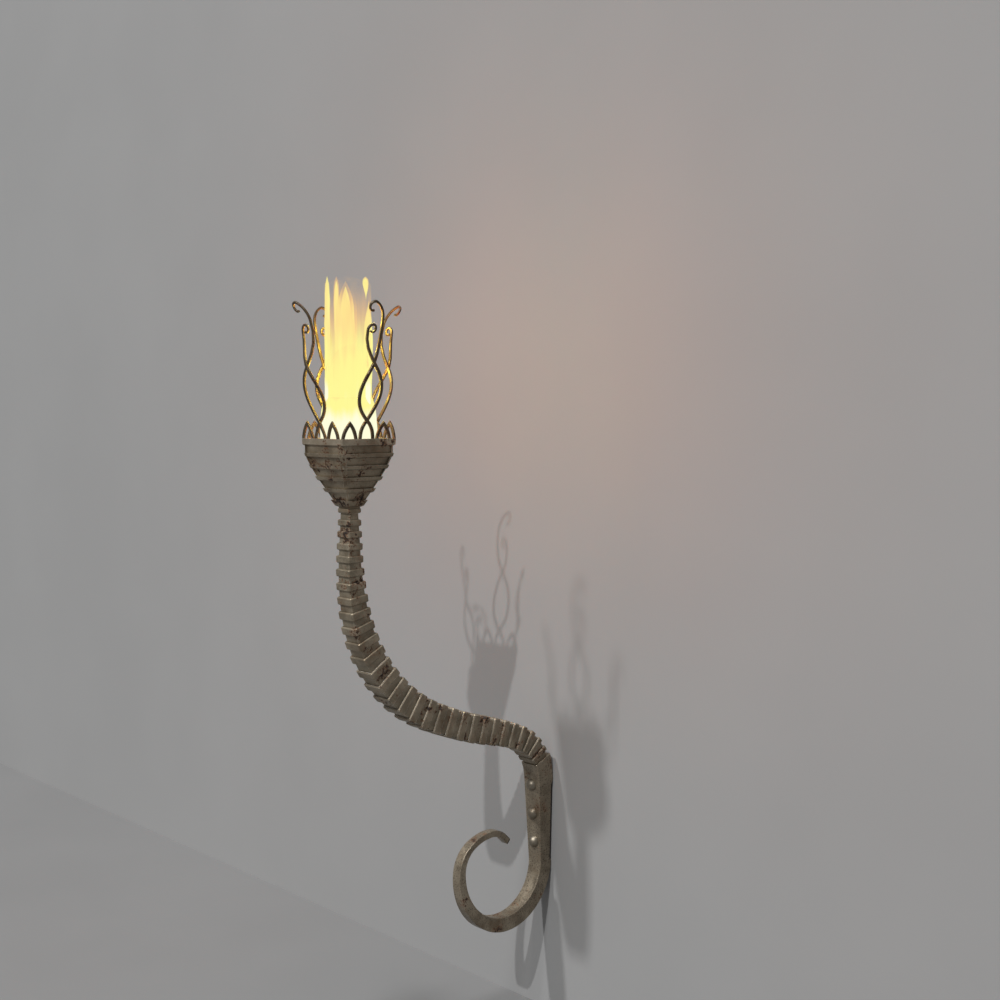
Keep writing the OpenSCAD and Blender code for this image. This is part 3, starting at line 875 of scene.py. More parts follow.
class Finishes:
    """All finishes of the torch, made once."""

    def __init__(self) -> None:
        """Makes every material."""
        self.bar = ForgedIron("bar_iron", scale=Colour(148, 137, 119), shade=Colour(114, 103, 87), rust_share=0.43, dents=60.0,
                              rough=(0.25, 0.5), relief=0.85).make()
        self.bolt = ForgedIron("bolt_iron", scale=Colour(140, 132, 119), shade=Colour(124, 116, 102), rust_share=0.1,
                               dents=150.0, relief=0.12, metal=0.85, rough=(0.42, 0.5), edge_reach=0.3).make()
        self.arm = ForgedIron("arm_iron", scale=Colour(158, 147, 128), shade=Colour(123, 113, 96), rust_share=0.5, dents=110.0).make()
        self.collar = ForgedIron("collar_iron", scale=Colour(158, 147, 128), shade=Colour(123, 113, 96), bare_and_highlight=Colour(200, 190, 172),
                                 rust_share=0.5, dents=110.0, edge_reach=0.5, edge_wear_and_highlight=0.6).make()
        # painted highlight: these collars' rubbed edges are near white and hardly metallic, standing in for lamp
        # glints on their chamfers as well as wear
        self.highlight_worn_collar = ForgedIron("worn_collar_iron", scale=Colour(152, 140, 121), shade=Colour(117, 106, 89),
                                      bare_and_highlight=Colour(255, 251, 243), rust_share=0.5, dents=110.0, edge_reach=1.1, edge_wear_and_highlight=1.2,
                                      bare_and_highlight_metal=0.1).make()
        self.cup = ForgedIron("cup_iron", scale=Colour(154, 142, 122), shade=Colour(118, 106, 88), rust_share=0.52, dents=80.0,
                              edge_reach=0.4, edge_wear_and_highlight=0.6).make()
        self.rim = ForgedIron("rim_iron", scale=Colour(170, 158, 139), shade=Colour(142, 130, 112), rust_share=0.45, dents=80.0).make()
        self.band = ForgedIron("band_iron", scale=Colour(156, 144, 124), shade=Colour(120, 108, 90), rust_share=0.52,
                               dents=100.0, edge_reach=0.6, edge_wear_and_highlight=0.8).make()
        self.crown = ForgedIron("crown_iron", scale=Colour(102, 89, 69), shade=Colour(72, 60, 45), rust=Colour(122, 72, 36),
                                rust_share=0.45, dents=160.0, edge_reach=0.5, edge_wear_and_highlight=0.5).make()
        self.fastener = SheetSteel("fastener_steel", soot_share=0.2).make()
        self.plate = SheetSteel("burner_steel", soot_share=0.8).make()
        self.can = SheetSteel("can_steel", soot_share=0.5).make()
        self.wick = WickFibre("wick_fibre").make()
        self.grid = ForgedIron("grid_iron", scale=Colour(70, 60, 50), rust_share=0.5, dents=300.0, edge_reach=0.5).make()


def dress(piece: bpy.types.Object, material: bpy.types.Material) -> bpy.types.Object:
    """Gives a piece its finish.

    Args:
        piece: The piece.
        material: Its material.

    Returns:
        The same piece.
    """
    piece.data.materials.clear()
    piece.data.materials.append(material)
    return piece


def settle(piece: bpy.types.Object, body: str, *nodes: str) -> None:
    """Puts a finished piece on its body in place of its CAD nodes and reports it.

    Args:
        piece: The finished piece.
        body: The body that it rides on.
        nodes: The CAD nodes that it stands for.
    """
    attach(piece, body)
    if nodes:
        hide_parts(*nodes)
    log.info("%s: %d faces for %s", piece.name, len(piece.data.polygons), ", ".join(nodes) or "no node")


# ---------------------------------------------------------------- wall bar


@dataclass
class WallBar:
    """The flat bar on the wall, drawn down into the lower scroll, with its three bolts. Sizes in millimetres."""

    top_w: float = 37.4
    top_d: float = 34.0
    low_w: float = 29.5
    low_d: float = 26.5
    flat_up: float = 56.0
    flat_down: float = 83.0
    top_turn: float = 25.0
    top_extra: float = 4.0
    top_radius: float = 90.0
    edge: float = 1.3
    back_edge: float = 4.0
    tip_w: float = 13.0
    tip_d: float = 10.5
    bolt_pitch: float = 50.0
    head_d: float = 20.6
    head_h: float = 9.6
    neck_d: float = 12.0
    shank_d: float = 10.0
    reach: float = 60.0
    seat: float = 0.9
    curl: tuple[Bend, ...] = (Bend(90, -115), Bend(101, -69), Bend(51, -57), Bend(85, -30), Bend(40, -43), Bend(11))

    @property
    def flat_top(self) -> Station:
        """Where the bar starts to turn away from the wall at its top."""
        return Station(-self.top_d / 2, self.flat_up, 90)

    @property
    def end(self) -> Station:
        """Where the arm starts."""
        return Station(*self._end_place(), self.flat_top.heading + self.top_turn)

    def _end_place(self) -> tuple[float, float]:
        """Place of the bar's top end."""
        last = self.flat_top.onward(Bend(self.top_radius, self.top_turn), 1)
        return last.across, last.up

    def depth(self, z: float) -> float:
        """Depth of the flat part at a height."""
        return mix(self.top_d, self.low_d, (self.flat_up - z) / (self.flat_up + self.flat_down))

    def rings(self) -> list[Ring]:
        """Sections of the bar from its top end to the scroll's tip.

        Returns:
            The rings, with headings that fall steadily.
        """
        made = []
        for i in range(9):
            share = 1 - i / 8
            here = self.flat_top.onward(Bend(self.top_radius, self.top_turn), share)
            extra = self.top_extra * share * share
            way = math.radians(here.heading)
            made.append(Ring(here.across + extra / 2 * math.sin(way), here.up - extra / 2 * math.cos(way),
                             here.heading - 180, self.top_w, self.top_d + extra))
        flat = self.flat_up + self.flat_down
        for i in range(1, 20):
            z = self.flat_up - flat * i / 20
            share = i / 20
            made.append(Ring(-self.depth(z) / 2, z, -90, mix(self.top_w, self.low_w, share), self.depth(z)))
        line = Line(Station(-self.low_d / 2, -self.flat_down, -90), self.curl)
        for here in line.stations(3.0):
            share = here.run / line.length
            deep = mix(self.low_d, self.tip_d, smooth((share - 0.2) / 0.65))
            made.append(Ring(here.across, here.up, here.heading, mix(self.low_w, self.tip_w, share), deep))
        tip = line.at(line.length)
        for angle in (12, 24, 36, 48, 60, 71, 80):
            left = math.cos(math.radians(angle))
            here = tip.onward(Bend(0.62 * self.tip_d * math.sin(math.radians(angle)), 0), 1)
            made.append(Ring(here.across, here.up, here.heading, self.tip_w * mix(1, left, 0.92), self.tip_d * left))
        return made

    def build_bar(self) -> bpy.types.Object:
        """Draws the bar out, cuts its bolt holes and leaves hammer waves in it.

        Returns:
            The bar with its scroll.
        """
        bar = Bench.draw_out("wall_bar_forged", self.rings(), Plane.SIDE, self.edge, 1)
        for vertex in bar.data.vertices:
            x, y, z = vertex.co / MM
            if y > -2.5 and self.flat_up > z > -self.flat_down:
                wide = mix(self.top_w, self.low_w, (self.flat_up - z) / (self.flat_up + self.flat_down)) / 2
                if abs(x) > wide - 0.4:
                    vertex.co.y -= self.back_edge * MM
                elif abs(x) > wide - 2:
                    vertex.co.x -= math.copysign(0.6 * MM, x)
        Bench.soften(bar, 0.35, 2, 28)
        Bench.hammer(bar, 0.3, 16)
        for z in (-self.bolt_pitch, 0, self.bolt_pitch):
            Bench.clear()
            bpy.ops.mesh.primitive_cylinder_add(radius=(self.neck_d + 0.6) / 2 * MM, depth=100 * MM, vertices=32,
                                                location=(0, -20 * MM, z * MM), rotation=(math.pi / 2, 0, 0))
            drill = bpy.context.object
            Bench.modify(bar, "BOOLEAN", operation="DIFFERENCE", solver="EXACT", object=drill)
            bpy.data.objects.remove(drill)
        Bench.take(bar)
        bpy.ops.object.shade_smooth_by_angle(angle=math.radians(32))
        # painted shade: the back faces of the bar's sides, in the gap at the wall where shade falls, are marked to be
        # coloured dark
        painted_gap_shade = bar.data.attributes.new("painted_gap_shade", "FLOAT", "FACE")
        for face, spot in zip(bar.data.polygons, painted_gap_shade.data):
            low, high = -self.flat_down * MM, self.flat_up * MM
            spot.value = float(abs(face.normal.x) > 0.5 and face.normal.y > 0.12 and low < face.center.z < high)
        return bar

    def build_bolt(self) -> bpy.types.Object:
        """Models one dome-headed bolt from a circle, at the middle hole.

        Returns:
            The bolt, with its head towards -Y.
        """
        seat = self.depth(0) - self.seat
        radius = self.head_d / 2
        Bench.clear()
        bpy.ops.mesh.primitive_circle_add(radius=self.shank_d / 2 * MM, vertices=32, fill_type="NGON", location=(0, 0, 0))
        bolt = bpy.context.object
        bolt.name = bolt.data.name = "wall_bolt"
        bpy.ops.object.mode_set(mode="EDIT")
        bpy.ops.mesh.select_all(action="SELECT")
        bpy.ops.transform.translate(value=(0, 0, (-seat - self.reach) * MM))
        ball = (radius**2 + self.head_h**2) / (2 * self.head_h)
        dome = [(self.head_h - ball * (1 - math.cos(math.asin(r / ball))), r) for r in (9.4, 8, 6.4, 4.6, 2.6, 0.9)]
        levels = [(-seat - 1, self.shank_d / 2), (-seat, self.neck_d / 2), (-0.3, self.neck_d / 2), (0, radius - 0.5),
                  (0.6, radius), (1.4, radius - 0.1)] + dome
        z, r = -seat - self.reach, self.shank_d / 2
        for next_z, next_r in levels:
            Bench.lift(next_z - z, (next_r / r, next_r / r), next_z)
            z, r = next_z, next_r
        Bench.close(bolt, 40)
        bolt.rotation_euler = (math.pi / 2, 0, 0)
        bolt.location = (0, -seat * MM, 0)
        Bench.fix_place(bolt)
        Bench.hammer(bolt, 0.12, 8)
        return bolt

    def build_bolts(self) -> bpy.types.Object:
        """Copies the bolt to the outer holes, each at the bar's depth there, and joins the three.

        Returns:
            The three bolts as one piece.
        """
        bolt = self.build_bolt()
        copies = [bolt]
        for z in (-self.bolt_pitch, self.bolt_pitch):
            move = Matrix.Translation((0, (self.depth(0) - self.depth(z)) * MM, z * MM))
            spin = Matrix.Rotation(math.radians(70 + z), 4, "Y")
            copies.append(Bench.twin(bolt, "wall_bolt_copy", move @ spin))
        return Bench.join("wall_bolts_domed", copies)

    def build(self, finishes: Finishes) -> None:
        """Builds the bar and its bolts and puts them on the torch.

        Args:
            finishes: The torch's materials.
        """
        settle(dress(self.build_bar(), finishes.bar), "torch", "wall_bar")
        settle(dress(self.build_bolts(), finishes.bolt), "torch", "wall_bolts")


# ---------------------------------------------------------------- arm


@dataclass
class Arm:
    """The curved square arm and the collars along it. Sizes in millimetres."""

    start: Station
    wall_w: float = 36.5
    wall_d: float = 35.5
    cup_w: float = 29.5
    cup_d: float = 22.4
    belly_w: float = 7.0
    belly_d: float = 18.0
    belly_skew: float = 0.9
    proud: float = 3.0
    count: int = 29
    # first collar, counted from the cup, whose edges carry painted highlight
    first_highlit_collar: int = 12
    share: float = 0.58
    first: float = 9.8
    last: float = 17.7
    swell: float = 0.122
    skew: float = 0.0075
    edge: float = 1.5
    bends: tuple[Bend, ...] = (Bend(90, 40.7), Bend(398, 10.3), Bend(744, -10.3), Bend(257.5, -55.4), Bend(451, -10.3), Bend(64))
    line: Line = field(init=False)

    def __post_init__(self) -> None:
        """Lays out the arm's middle line."""
        self.line = Line(self.start, self.bends)

    @property
    def top(self) -> Station:
        """Where the cup stands."""
        return self.line.at(self.line.length)

    def size(self, share: float) -> tuple[float, float]:
        """Width and depth over the collars at a share of the arm from the wall."""
        held = clamp01(share)
        return (mix(self.wall_w, self.cup_w, share) + self.belly_w * math.sin(math.pi * held),
                mix(self.wall_d, self.cup_d, share) + self.belly_d * math.sin(math.pi * held**self.belly_skew))

    def collar_share(self, number: float) -> float:
        """Share of the arm, from the cup, at the cup side of a collar."""
        x = (number - 1) / (self.count - 1)
        length = self.line.length
        return (mix(self.first / length, 1 - self.last / length, x)
                + self.swell * (1 - 2 * x - math.cos(math.pi * x)) - self.skew * (1 - math.cos(2 * math.pi * x)))

    def build_core(self) -> bpy.types.Object:
        """Draws the square arm out between the collars.

        Returns:
            The arm.
        """
        rings = []
        for here in self.line.stations(6):
            wide, deep = self.size(here.run / self.line.length)
            rings.append(Ring(here.across, here.up, here.heading, wide - 2 * self.proud, deep - 2 * self.proud))
        core = Bench.draw_out("arm_drawn", rings, Plane.SIDE, 1.3, 1)
        Bench.hammer(core, 0.25, 12)
        return core

    def build_collar(self, number: int) -> bpy.types.Object:
        """Cuts one collar from a block, opens it for the arm and rounds its edges.

        Args:
            number: The collar's number, from 1 at the cup.

        Returns:
            The collar in its place.
        """
        length = self.line.length
        thick = self.share * length * (self.collar_share(number + 0.5) - self.collar_share(number - 0.5))
        share = 1 - self.collar_share(number) - thick / 2 / length
        wide, deep = self.size(share)
        name = f"arm_collar_{number}_forged"
        half = thick / 2
        cut = self.edge
        levels = [(-half, wide / 2 - cut, deep / 2 - cut), (cut - half, wide / 2, deep / 2),
                  (half - cut, wide / 2, deep / 2), (half, wide / 2 - cut, deep / 2 - cut)]
        collar = Bench.rise(name, levels, cut, 1)
        Bench.pierce(collar, self.proud - 0.35 - cut, self.proud - 0.35 - cut)
        Bench.close(collar)
        Bench.soften(collar, 0.22, 2, 28)
        here = self.line.at(length * share)
        collar.rotation_euler = (math.radians(here.heading - 90), 0, 0)
        collar.location = (0, here.across * MM, here.up * MM)
        Bench.fix_place(collar)
        Bench.hammer(collar, 0.3, 12)
        return collar

    def build(self, finishes: Finishes) -> None:
        """Builds the arm and its collars and puts them on the torch.

        Args:
            finishes: The torch's materials.
        """
        settle(dress(self.build_core(), finishes.arm), "torch", "arm_core")
        for number in range(1, self.count + 1):
            # collars from this number to the wall get edges painted as highlight as well as worn
            finish = finishes.collar if number < self.first_highlit_collar else finishes.highlight_worn_collar
            collar = dress(self.build_collar(number), finish)
            settle(collar, "torch", f"arm_collar_{number}")


# ---------------------------------------------------------------- cup


@dataclass
class Cup:
    """The square cup with its rim, bands and neck collar. Sizes in millimetres, heights from the rim."""

    axis_y: float
    rim_z: float
    rim_w: float = 100.0
    rim_h: float = 11.0
    height: float = 112.0
    straight: float = 12.0
    wall: float = 2.6
    neck_w: float = 25.2
    neck_d: float = 20.6
    fullness: float = 1.4
    band_start: float = 22.0
    band_pitch: float = 17.6
    band_h: float = 6.6
    low_band_h: float = 10.0
    band_proud: float = 2.8
    band_foot: float = 1.6
    rim_proud: float = 3.1
    collar_h: float = 7.0
    floor: float = 14.0
    ledge_depth: float = 9.0
    ledge_w: float = 2.0
    seat: float = 0.1

    @property
    def body_half(self) -> float:
        """Half width of the cup's straight top part."""
        return self.rim_w / 2 - self.rim_proud

    @property
    def place(self) -> Matrix:
        """Move from the rim's middle at the origin to the cup's place."""
        return Matrix.Translation((0, self.axis_y * MM, self.rim_z * MM))

    def half(self, z: float, neck: float) -> float:
        """Half size of the cup's outer face at a height."""
        end = self.height - self.collar_h - 1
        return neck + (self.body_half - neck) * (1 - clamp01((-z - self.straight) / (end - self.straight)) ** self.fullness)

    def level(self, z: float, proud: float = 0.0) -> tuple[float, float, float]:
        """A level of the cup: its height, half width and half depth.

        Args:
            z: The height.
            proud: How far the level stands out from the cup's face.

        Returns:
            The three sizes.
        """
        return z, self.half(z, self.neck_w / 2) + proud, self.half(z, self.neck_d / 2) + proud

    def build_shell(self) -> bpy.types.Object:
        """Raises the cup from its neck, then sinks the ledge and the hollow into its top.

        Returns:
            The shell.
        """
        top = self.height - self.collar_h - 1
        heights = [-self.height, -top] + [-top + (top - self.straight) * i / 22 for i in range(1, 23)] + [0.0]
        shell = Bench.rise("cup_shell_raised", [self.level(z) for z in heights], 0.35, 1)
        bpy.ops.mesh.inset(thickness=self.wall * MM)
        Bench.lift(-self.ledge_depth, (1, 1), -self.ledge_depth)
        bpy.ops.mesh.inset(thickness=self.ledge_w * MM)
        _, w, d = self.level(0, -self.wall - self.ledge_w)
        z = -self.ledge_depth
        floor_z = self.floor - self.height
        for i in range(1, 17):
            next_z = mix(-self.ledge_depth, floor_z, i / 16)
            _, full_w, full_d = self.level(next_z, -self.wall)
            next_w, next_d = min(full_w, w), min(full_d, d)
            Bench.lift(next_z - z, (next_w / w, next_d / d), next_z)
            z, w, d = next_z, next_w, next_d
        Bench.close(shell)
        shell.data.transform(self.place)
        Bench.hammer(shell, 0.5, 16)
        return shell

    def build_rim(self) -> bpy.types.Object:
        """Builds the rim band with its bevelled foot.

        Returns:
            The rim band.
        """
        half = self.rim_w / 2
        levels = [(-self.rim_h, half - 2.4, half - 2.4), (2 - self.rim_h, half - 0.3, half - 0.3),
                  (-self.rim_h / 3, half, half), (0, half, half)]
        rim = Bench.rise("rim_band_forged", levels, 0.5, 1)
        hole = self.body_half + self.seat
        Bench.pierce(rim, half - hole, half - 2.4 - hole)
        return self._finish_ring(rim, 0.3, 0.3)

    def build_band(self, number: int) -> bpy.types.Object:
        """Builds one band shrunk on to the cup.

        Args:
            number: The band's number, from 1 at the top.

        Returns:
            The band.
        """
        top = -self.band_start - (number - 1) * self.band_pitch
        low = top - (self.low_band_h if number == 5 else self.band_h)
        foot = self.band_proud - self.band_foot
        levels = [self.level(low, foot), self.level(low + self.band_foot, self.band_proud), self.level(top, self.band_proud)]
        band = Bench.rise(f"cup_band_{number}_forged", levels, 0.6, 1)
        Bench.pierce(band, self.band_proud - self.seat, foot - self.seat)
        return self._finish_ring(band, 0.35, 0.35)

    def build_collar(self) -> bpy.types.Object:
        """Builds the collar round the cup's neck.

        Returns:
            The collar.
        """
        w, d = self.neck_w / 2 + 1.3, self.neck_d / 2 + 1.3
        low, top = -self.height, self.collar_h - self.height
        levels = [(low, w - 0.9, d - 0.9), (low + 1.5, w, d), (top - 1, w, d), (top, w - 0.6, d - 0.6)]
        collar = Bench.rise("neck_collar_forged", levels, 0.7, 1)
        Bench.pierce(collar, 0.6, 0.3)
        return self._finish_ring(collar, 0.25, 0.3)

    def _finish_ring(self, ring: bpy.types.Object, round_w: float, waves: float) -> bpy.types.Object:
        """Rounds a ring's edges, puts it on the cup and leaves hammer waves in it.

        Args:
            ring: The ring, still at the origin.
            round_w: Width of the rounding.
            waves: Depth of the waves.

        Returns:
            The finished ring.
        """
        Bench.close(ring)
        Bench.soften(ring, round_w, 2, 30)
        ring.data.transform(self.place)
        Bench.hammer(ring, waves, 14)
        return ring

    def build(self, finishes: Finishes) -> None:
        """Builds the cup's pieces and puts them on the torch.

        Args:
            finishes: The torch's materials.
        """
        settle(dress(self.build_shell(), finishes.cup), "torch", "cup_shell")
        settle(dress(self.build_rim(), finishes.rim), "torch", "rim_band")
        for number in range(1, 6):
            settle(dress(self.build_band(number), finishes.band), "torch", f"cup_band_{number}")
        settle(dress(self.build_collar(), finishes.band), "torch", "neck_collar")


# ---------------------------------------------------------------- crown


@dataclass
class Crown:
    """The open crown: on each side a tall and a low scroll that interlace, and two arches. Sizes in millimetres."""

    cup: Cup
    broad: float = 5.1
    thick: float = 3.2
    end_share: float = 0.6
    arch_pitch: float = 31.0
    arch_half: float = 11.8
    arch_h: float = 26.0
    arch_shift: float = -4.6
    arch_turn: float = 36.0
    lens_top: float = 108.4
    lens_shift: float = -6.3
    lens_half: float = 18.8
    crown_out: float = 22.0
    waist: float = 3.2
    waist_h: float = 30.0
    flare_out: float = 17.5
    flare_h: float = 59.0
    arch_lean: float = 1.5
    lens_ease: float = 0.06
    gap: float = 0.2
    stem_lean: float = 30.0
    tall: tuple[Bend, ...] = (Bend(106, 36), Bend(30.4, 61), Bend(8, 55), Bend(6.3, 172))
    low: tuple[Bend, ...] = (Bend(81, -36), Bend(9.5, -68), Bend(5.5, -238))

    def flare(self, z: float) -> float:
        """Distance of the ribbons' middle from the cup's axis at a height above the rim."""
        share = (z - self.arch_h) / (self.lens_top - self.arch_h)
        above = z - self.lens_top
        return ((self.cup.rim_w - self.thick) / 2 + self.arch_lean * smooth(z / self.arch_h)
                + (self.crown_out - self.arch_lean) * smooth((share - self.lens_ease) / (1 - 2 * self.lens_ease))
                - self.waist * smooth((above + 0.1 * self.waist_h) / (1.1 * self.waist_h))
                + self.flare_out * max(0.0, (above - self.waist_h) / self.flare_h) ** 1.8)

    def weave(self, z: float) -> float:
        """Place in front of (1) or behind (-1) the face, so that two ribbons interlace."""
        if z < self.arch_h:
            return smooth(z / (0.6 * self.arch_h))
        if z < self.lens_top:
            return math.cos(math.pi * (z - self.arch_h) / (self.lens_top - self.arch_h))
        return smooth((z - self.lens_top) / (1.33 * self.waist_h)) - 1

    def leg(self, height: float) -> Line:
        """Middle line of an arch's left leg up to a height."""
        top = 90 - math.degrees(math.atan2(self.arch_half, height)) - self.arch_turn / 2
        radius = math.hypot(self.arch_half, height) / (2 * math.sin(math.radians(self.arch_turn / 2)))
        return Line(Station(-self.arch_half, 0, top + self.arch_turn), (Bend(radius, -self.arch_turn),))

    def scroll_rings(self, way: int, bends: tuple[Bend, ...]) -> list[Ring]:
        """Sections of a long ribbon: a leg, one side of the lens and a scroll.

        Args:
            way: 1 for the ribbon on the left foot, -1 for the one on the right foot.
            bends: The bends of its scroll.

        Returns:
            The rings, drawn flat.
        """
        places = []
        leg = self.leg(self.arch_h)
        for i in range(6):
            here = leg.at(leg.length * i / 6)
            places.append((self.arch_shift + way * here.across, here.up, 90 if i == 0 else 90 + way * (here.heading - 90), 0.0))
        for i in range(1, 24):
            places.append((*self._lens_place(i / 24, way), 0.0))
        stem = Line(Station(self.lens_shift, self.lens_top, 90 + way * self.stem_lean), bends)
        run = 0.0
        here = stem.start
        for bend in bends:
            count = max(3, math.ceil(abs(bend.turn) / 9))
            for i in range(count):
                spot = here.onward(bend, i / count)
                places.append((spot.across, spot.up, spot.heading, (run + bend.length * i / count) / stem.length))
            here, run = here.onward(bend, 1), run + bend.length
        places.append((here.across, here.up, here.heading, 1.0))
        return [Ring(u, z, heading, self.broad * mix(1, self.end_share, share), self.thick * mix(1, 0.85, share))
                for u, z, heading, share in places]

    def _lens_place(self, share: float, way: int) -> tuple[float, float, float]:
        """Place and heading on one side of the lens."""

        def across(t: float) -> float:
            held = max(0.0, t)
            return mix(self.arch_shift, self.lens_shift, held) + way * self.lens_half * math.sin(math.pi * min(held, 1) ** 0.9)

        rise = self.lens_top - self.arch_h
        step = 0.01
        heading = math.degrees(math.atan2(2 * step * rise, across(share + step) - across(share - step)))
        return across(share), mix(self.arch_h, self.lens_top, share), heading

    def bend_over(self, piece: bpy.types.Object, layer: int) -> None:
        """Bends a ribbon that was drawn flat over the crown's flare, and weaves it.

        Args:
            piece: The flat ribbon, with its face towards -Y.
            layer: 1 if it passes in front at the first crossing, -1 behind, and 0 for no weave.
        """
        step = (self.thick + self.gap) / 2
        for vertex in piece.data.vertices:
            u, off, z = vertex.co / MM
            slope = self.flare(z + 0.5) - self.flare(z - 0.5)
            out = Vector((0, -1, -slope)).normalized()
            lift = -off + layer * step * self.weave(z)
            vertex.co = (Vector((u, -self.flare(z), z)) + out * lift) * MM
        piece.data.update()

    def finish_ribbon(self, piece: bpy.types.Object, layer: int) -> bpy.types.Object:
        """Bends, softens and hammers one ribbon."""
        self.bend_over(piece, layer)
        Bench.close(piece, 40)
        Bench.hammer(piece, 0.25, 7)
        return piece

    def build_scroll(self, name: str, way: int, layer: int, bends: tuple[Bend, ...]) -> bpy.types.Object:
        """Draws one long ribbon and bends it over the flare.

        Args:
            name: Name of the piece.
            way: Which foot it stands on.
            layer: Which ribbon passes in front first.
            bends: The bends of its scroll.

        Returns:
            The ribbon on the front side, at the origin.
        """
        ribbon = Bench.draw_out(name, self.scroll_rings(way, bends), Plane.FACE, 0.8, 2)
        return self.finish_ribbon(ribbon, layer)

    def build_arches(self) -> bpy.types.Object:
        """Bends the two outer arches of the front side, each with a mitred top.

        Returns:
            Both arches as one piece, at the origin.
        """
        top = 90 - math.degrees(math.atan2(self.arch_half, self.arch_h)) - self.arch_turn / 2
        mitre = self.broad / math.cos(math.radians(top))
        peak = self.arch_h - mitre / 2
        leg = self.leg(peak)
        made = []
        for middle in (self.arch_shift - self.arch_pitch, self.arch_shift + self.arch_pitch):
            up = [leg.at(leg.length * i / 7) for i in range(7)]
            rings = [Ring(middle + s.across, s.up, 90 if i == 0 else s.heading, self.broad, self.thick) for i, s in enumerate(up)]
            rings.append(Ring(middle, peak, 0, mitre, self.thick))
            rings += [Ring(middle - s.across, s.up, -90 if i == 6 else -s.heading, self.broad, self.thick)
                      for i, s in enumerate(reversed(up))]
            made.append(self.finish_ribbon(Bench.draw_out("arch", rings, Plane.FACE, 0.8, 2), 0))
        return Bench.join("arches", made)

    def build(self, finishes: Finishes) -> None:
        """Builds one side's ribbons and copies them to the four sides.

        Args:
            finishes: The torch's materials.
        """
        masters = {
            "tall_scroll": self.build_scroll("tall_scroll", -1, 1, self.tall),
            "low_scroll": self.build_scroll("low_scroll", 1, -1, self.low),
            "arches": self.build_arches(),
        }
        for label, master in masters.items():
            for number, side in enumerate(SIDES):
                move = self.cup.place @ Matrix.Rotation(math.radians(90 * number), 4, "Z")
                piece = Bench.twin(master, f"{label}_{side}_forged", move)
                settle(dress(piece, finishes.crown), "torch", f"{label}_{side}")
            bpy.data.objects.remove(master)


# ---------------------------------------------------------------- burner and flame


@dataclass
class Burner:
    """What lifts out of the cup: plate, can, wick and grid."""

    nodes: dict[str, bpy.types.Object]

    def build(self, finishes: Finishes) -> None:
        """Dresses the burner's nodes and the cup's fastener.

        Args:
            finishes: The torch's materials.
        """
        for node, material, slot in (
            ("burner_plate", finishes.plate, "burner_steel"), ("fuel_can", finishes.can, "can_steel"),
            ("wick", finishes.wick, "wick_fibre"), ("wick_grid", finishes.grid, "grid_iron"),
            ("cup_washer", finishes.fastener, "fastener_steel"), ("cup_nut", finishes.fastener, "fastener_steel"),
        ):
            dress(self.nodes[node], material)
            log.info("%s: carried over with %s", node, slot)


@dataclass(frozen=True)
class Tongue:
    """One tongue of flame, in millimetres from the rim's middle.

    It stands at a place across and back, from its root to its tip, with its greatest half width. It starts at a share
    of that width, is fullest at a share of its height and leans across. Its heat falls from its root to its tip.
    """

    across: float
    root: float
    tip: float
    half: float
    heat: float = 0.9
    fade: float = 0.3
    fullest: float = 0.3
    start: float = 0.75
    lean: float = 0.0
    back: float = 0.0
    shells: int = 3


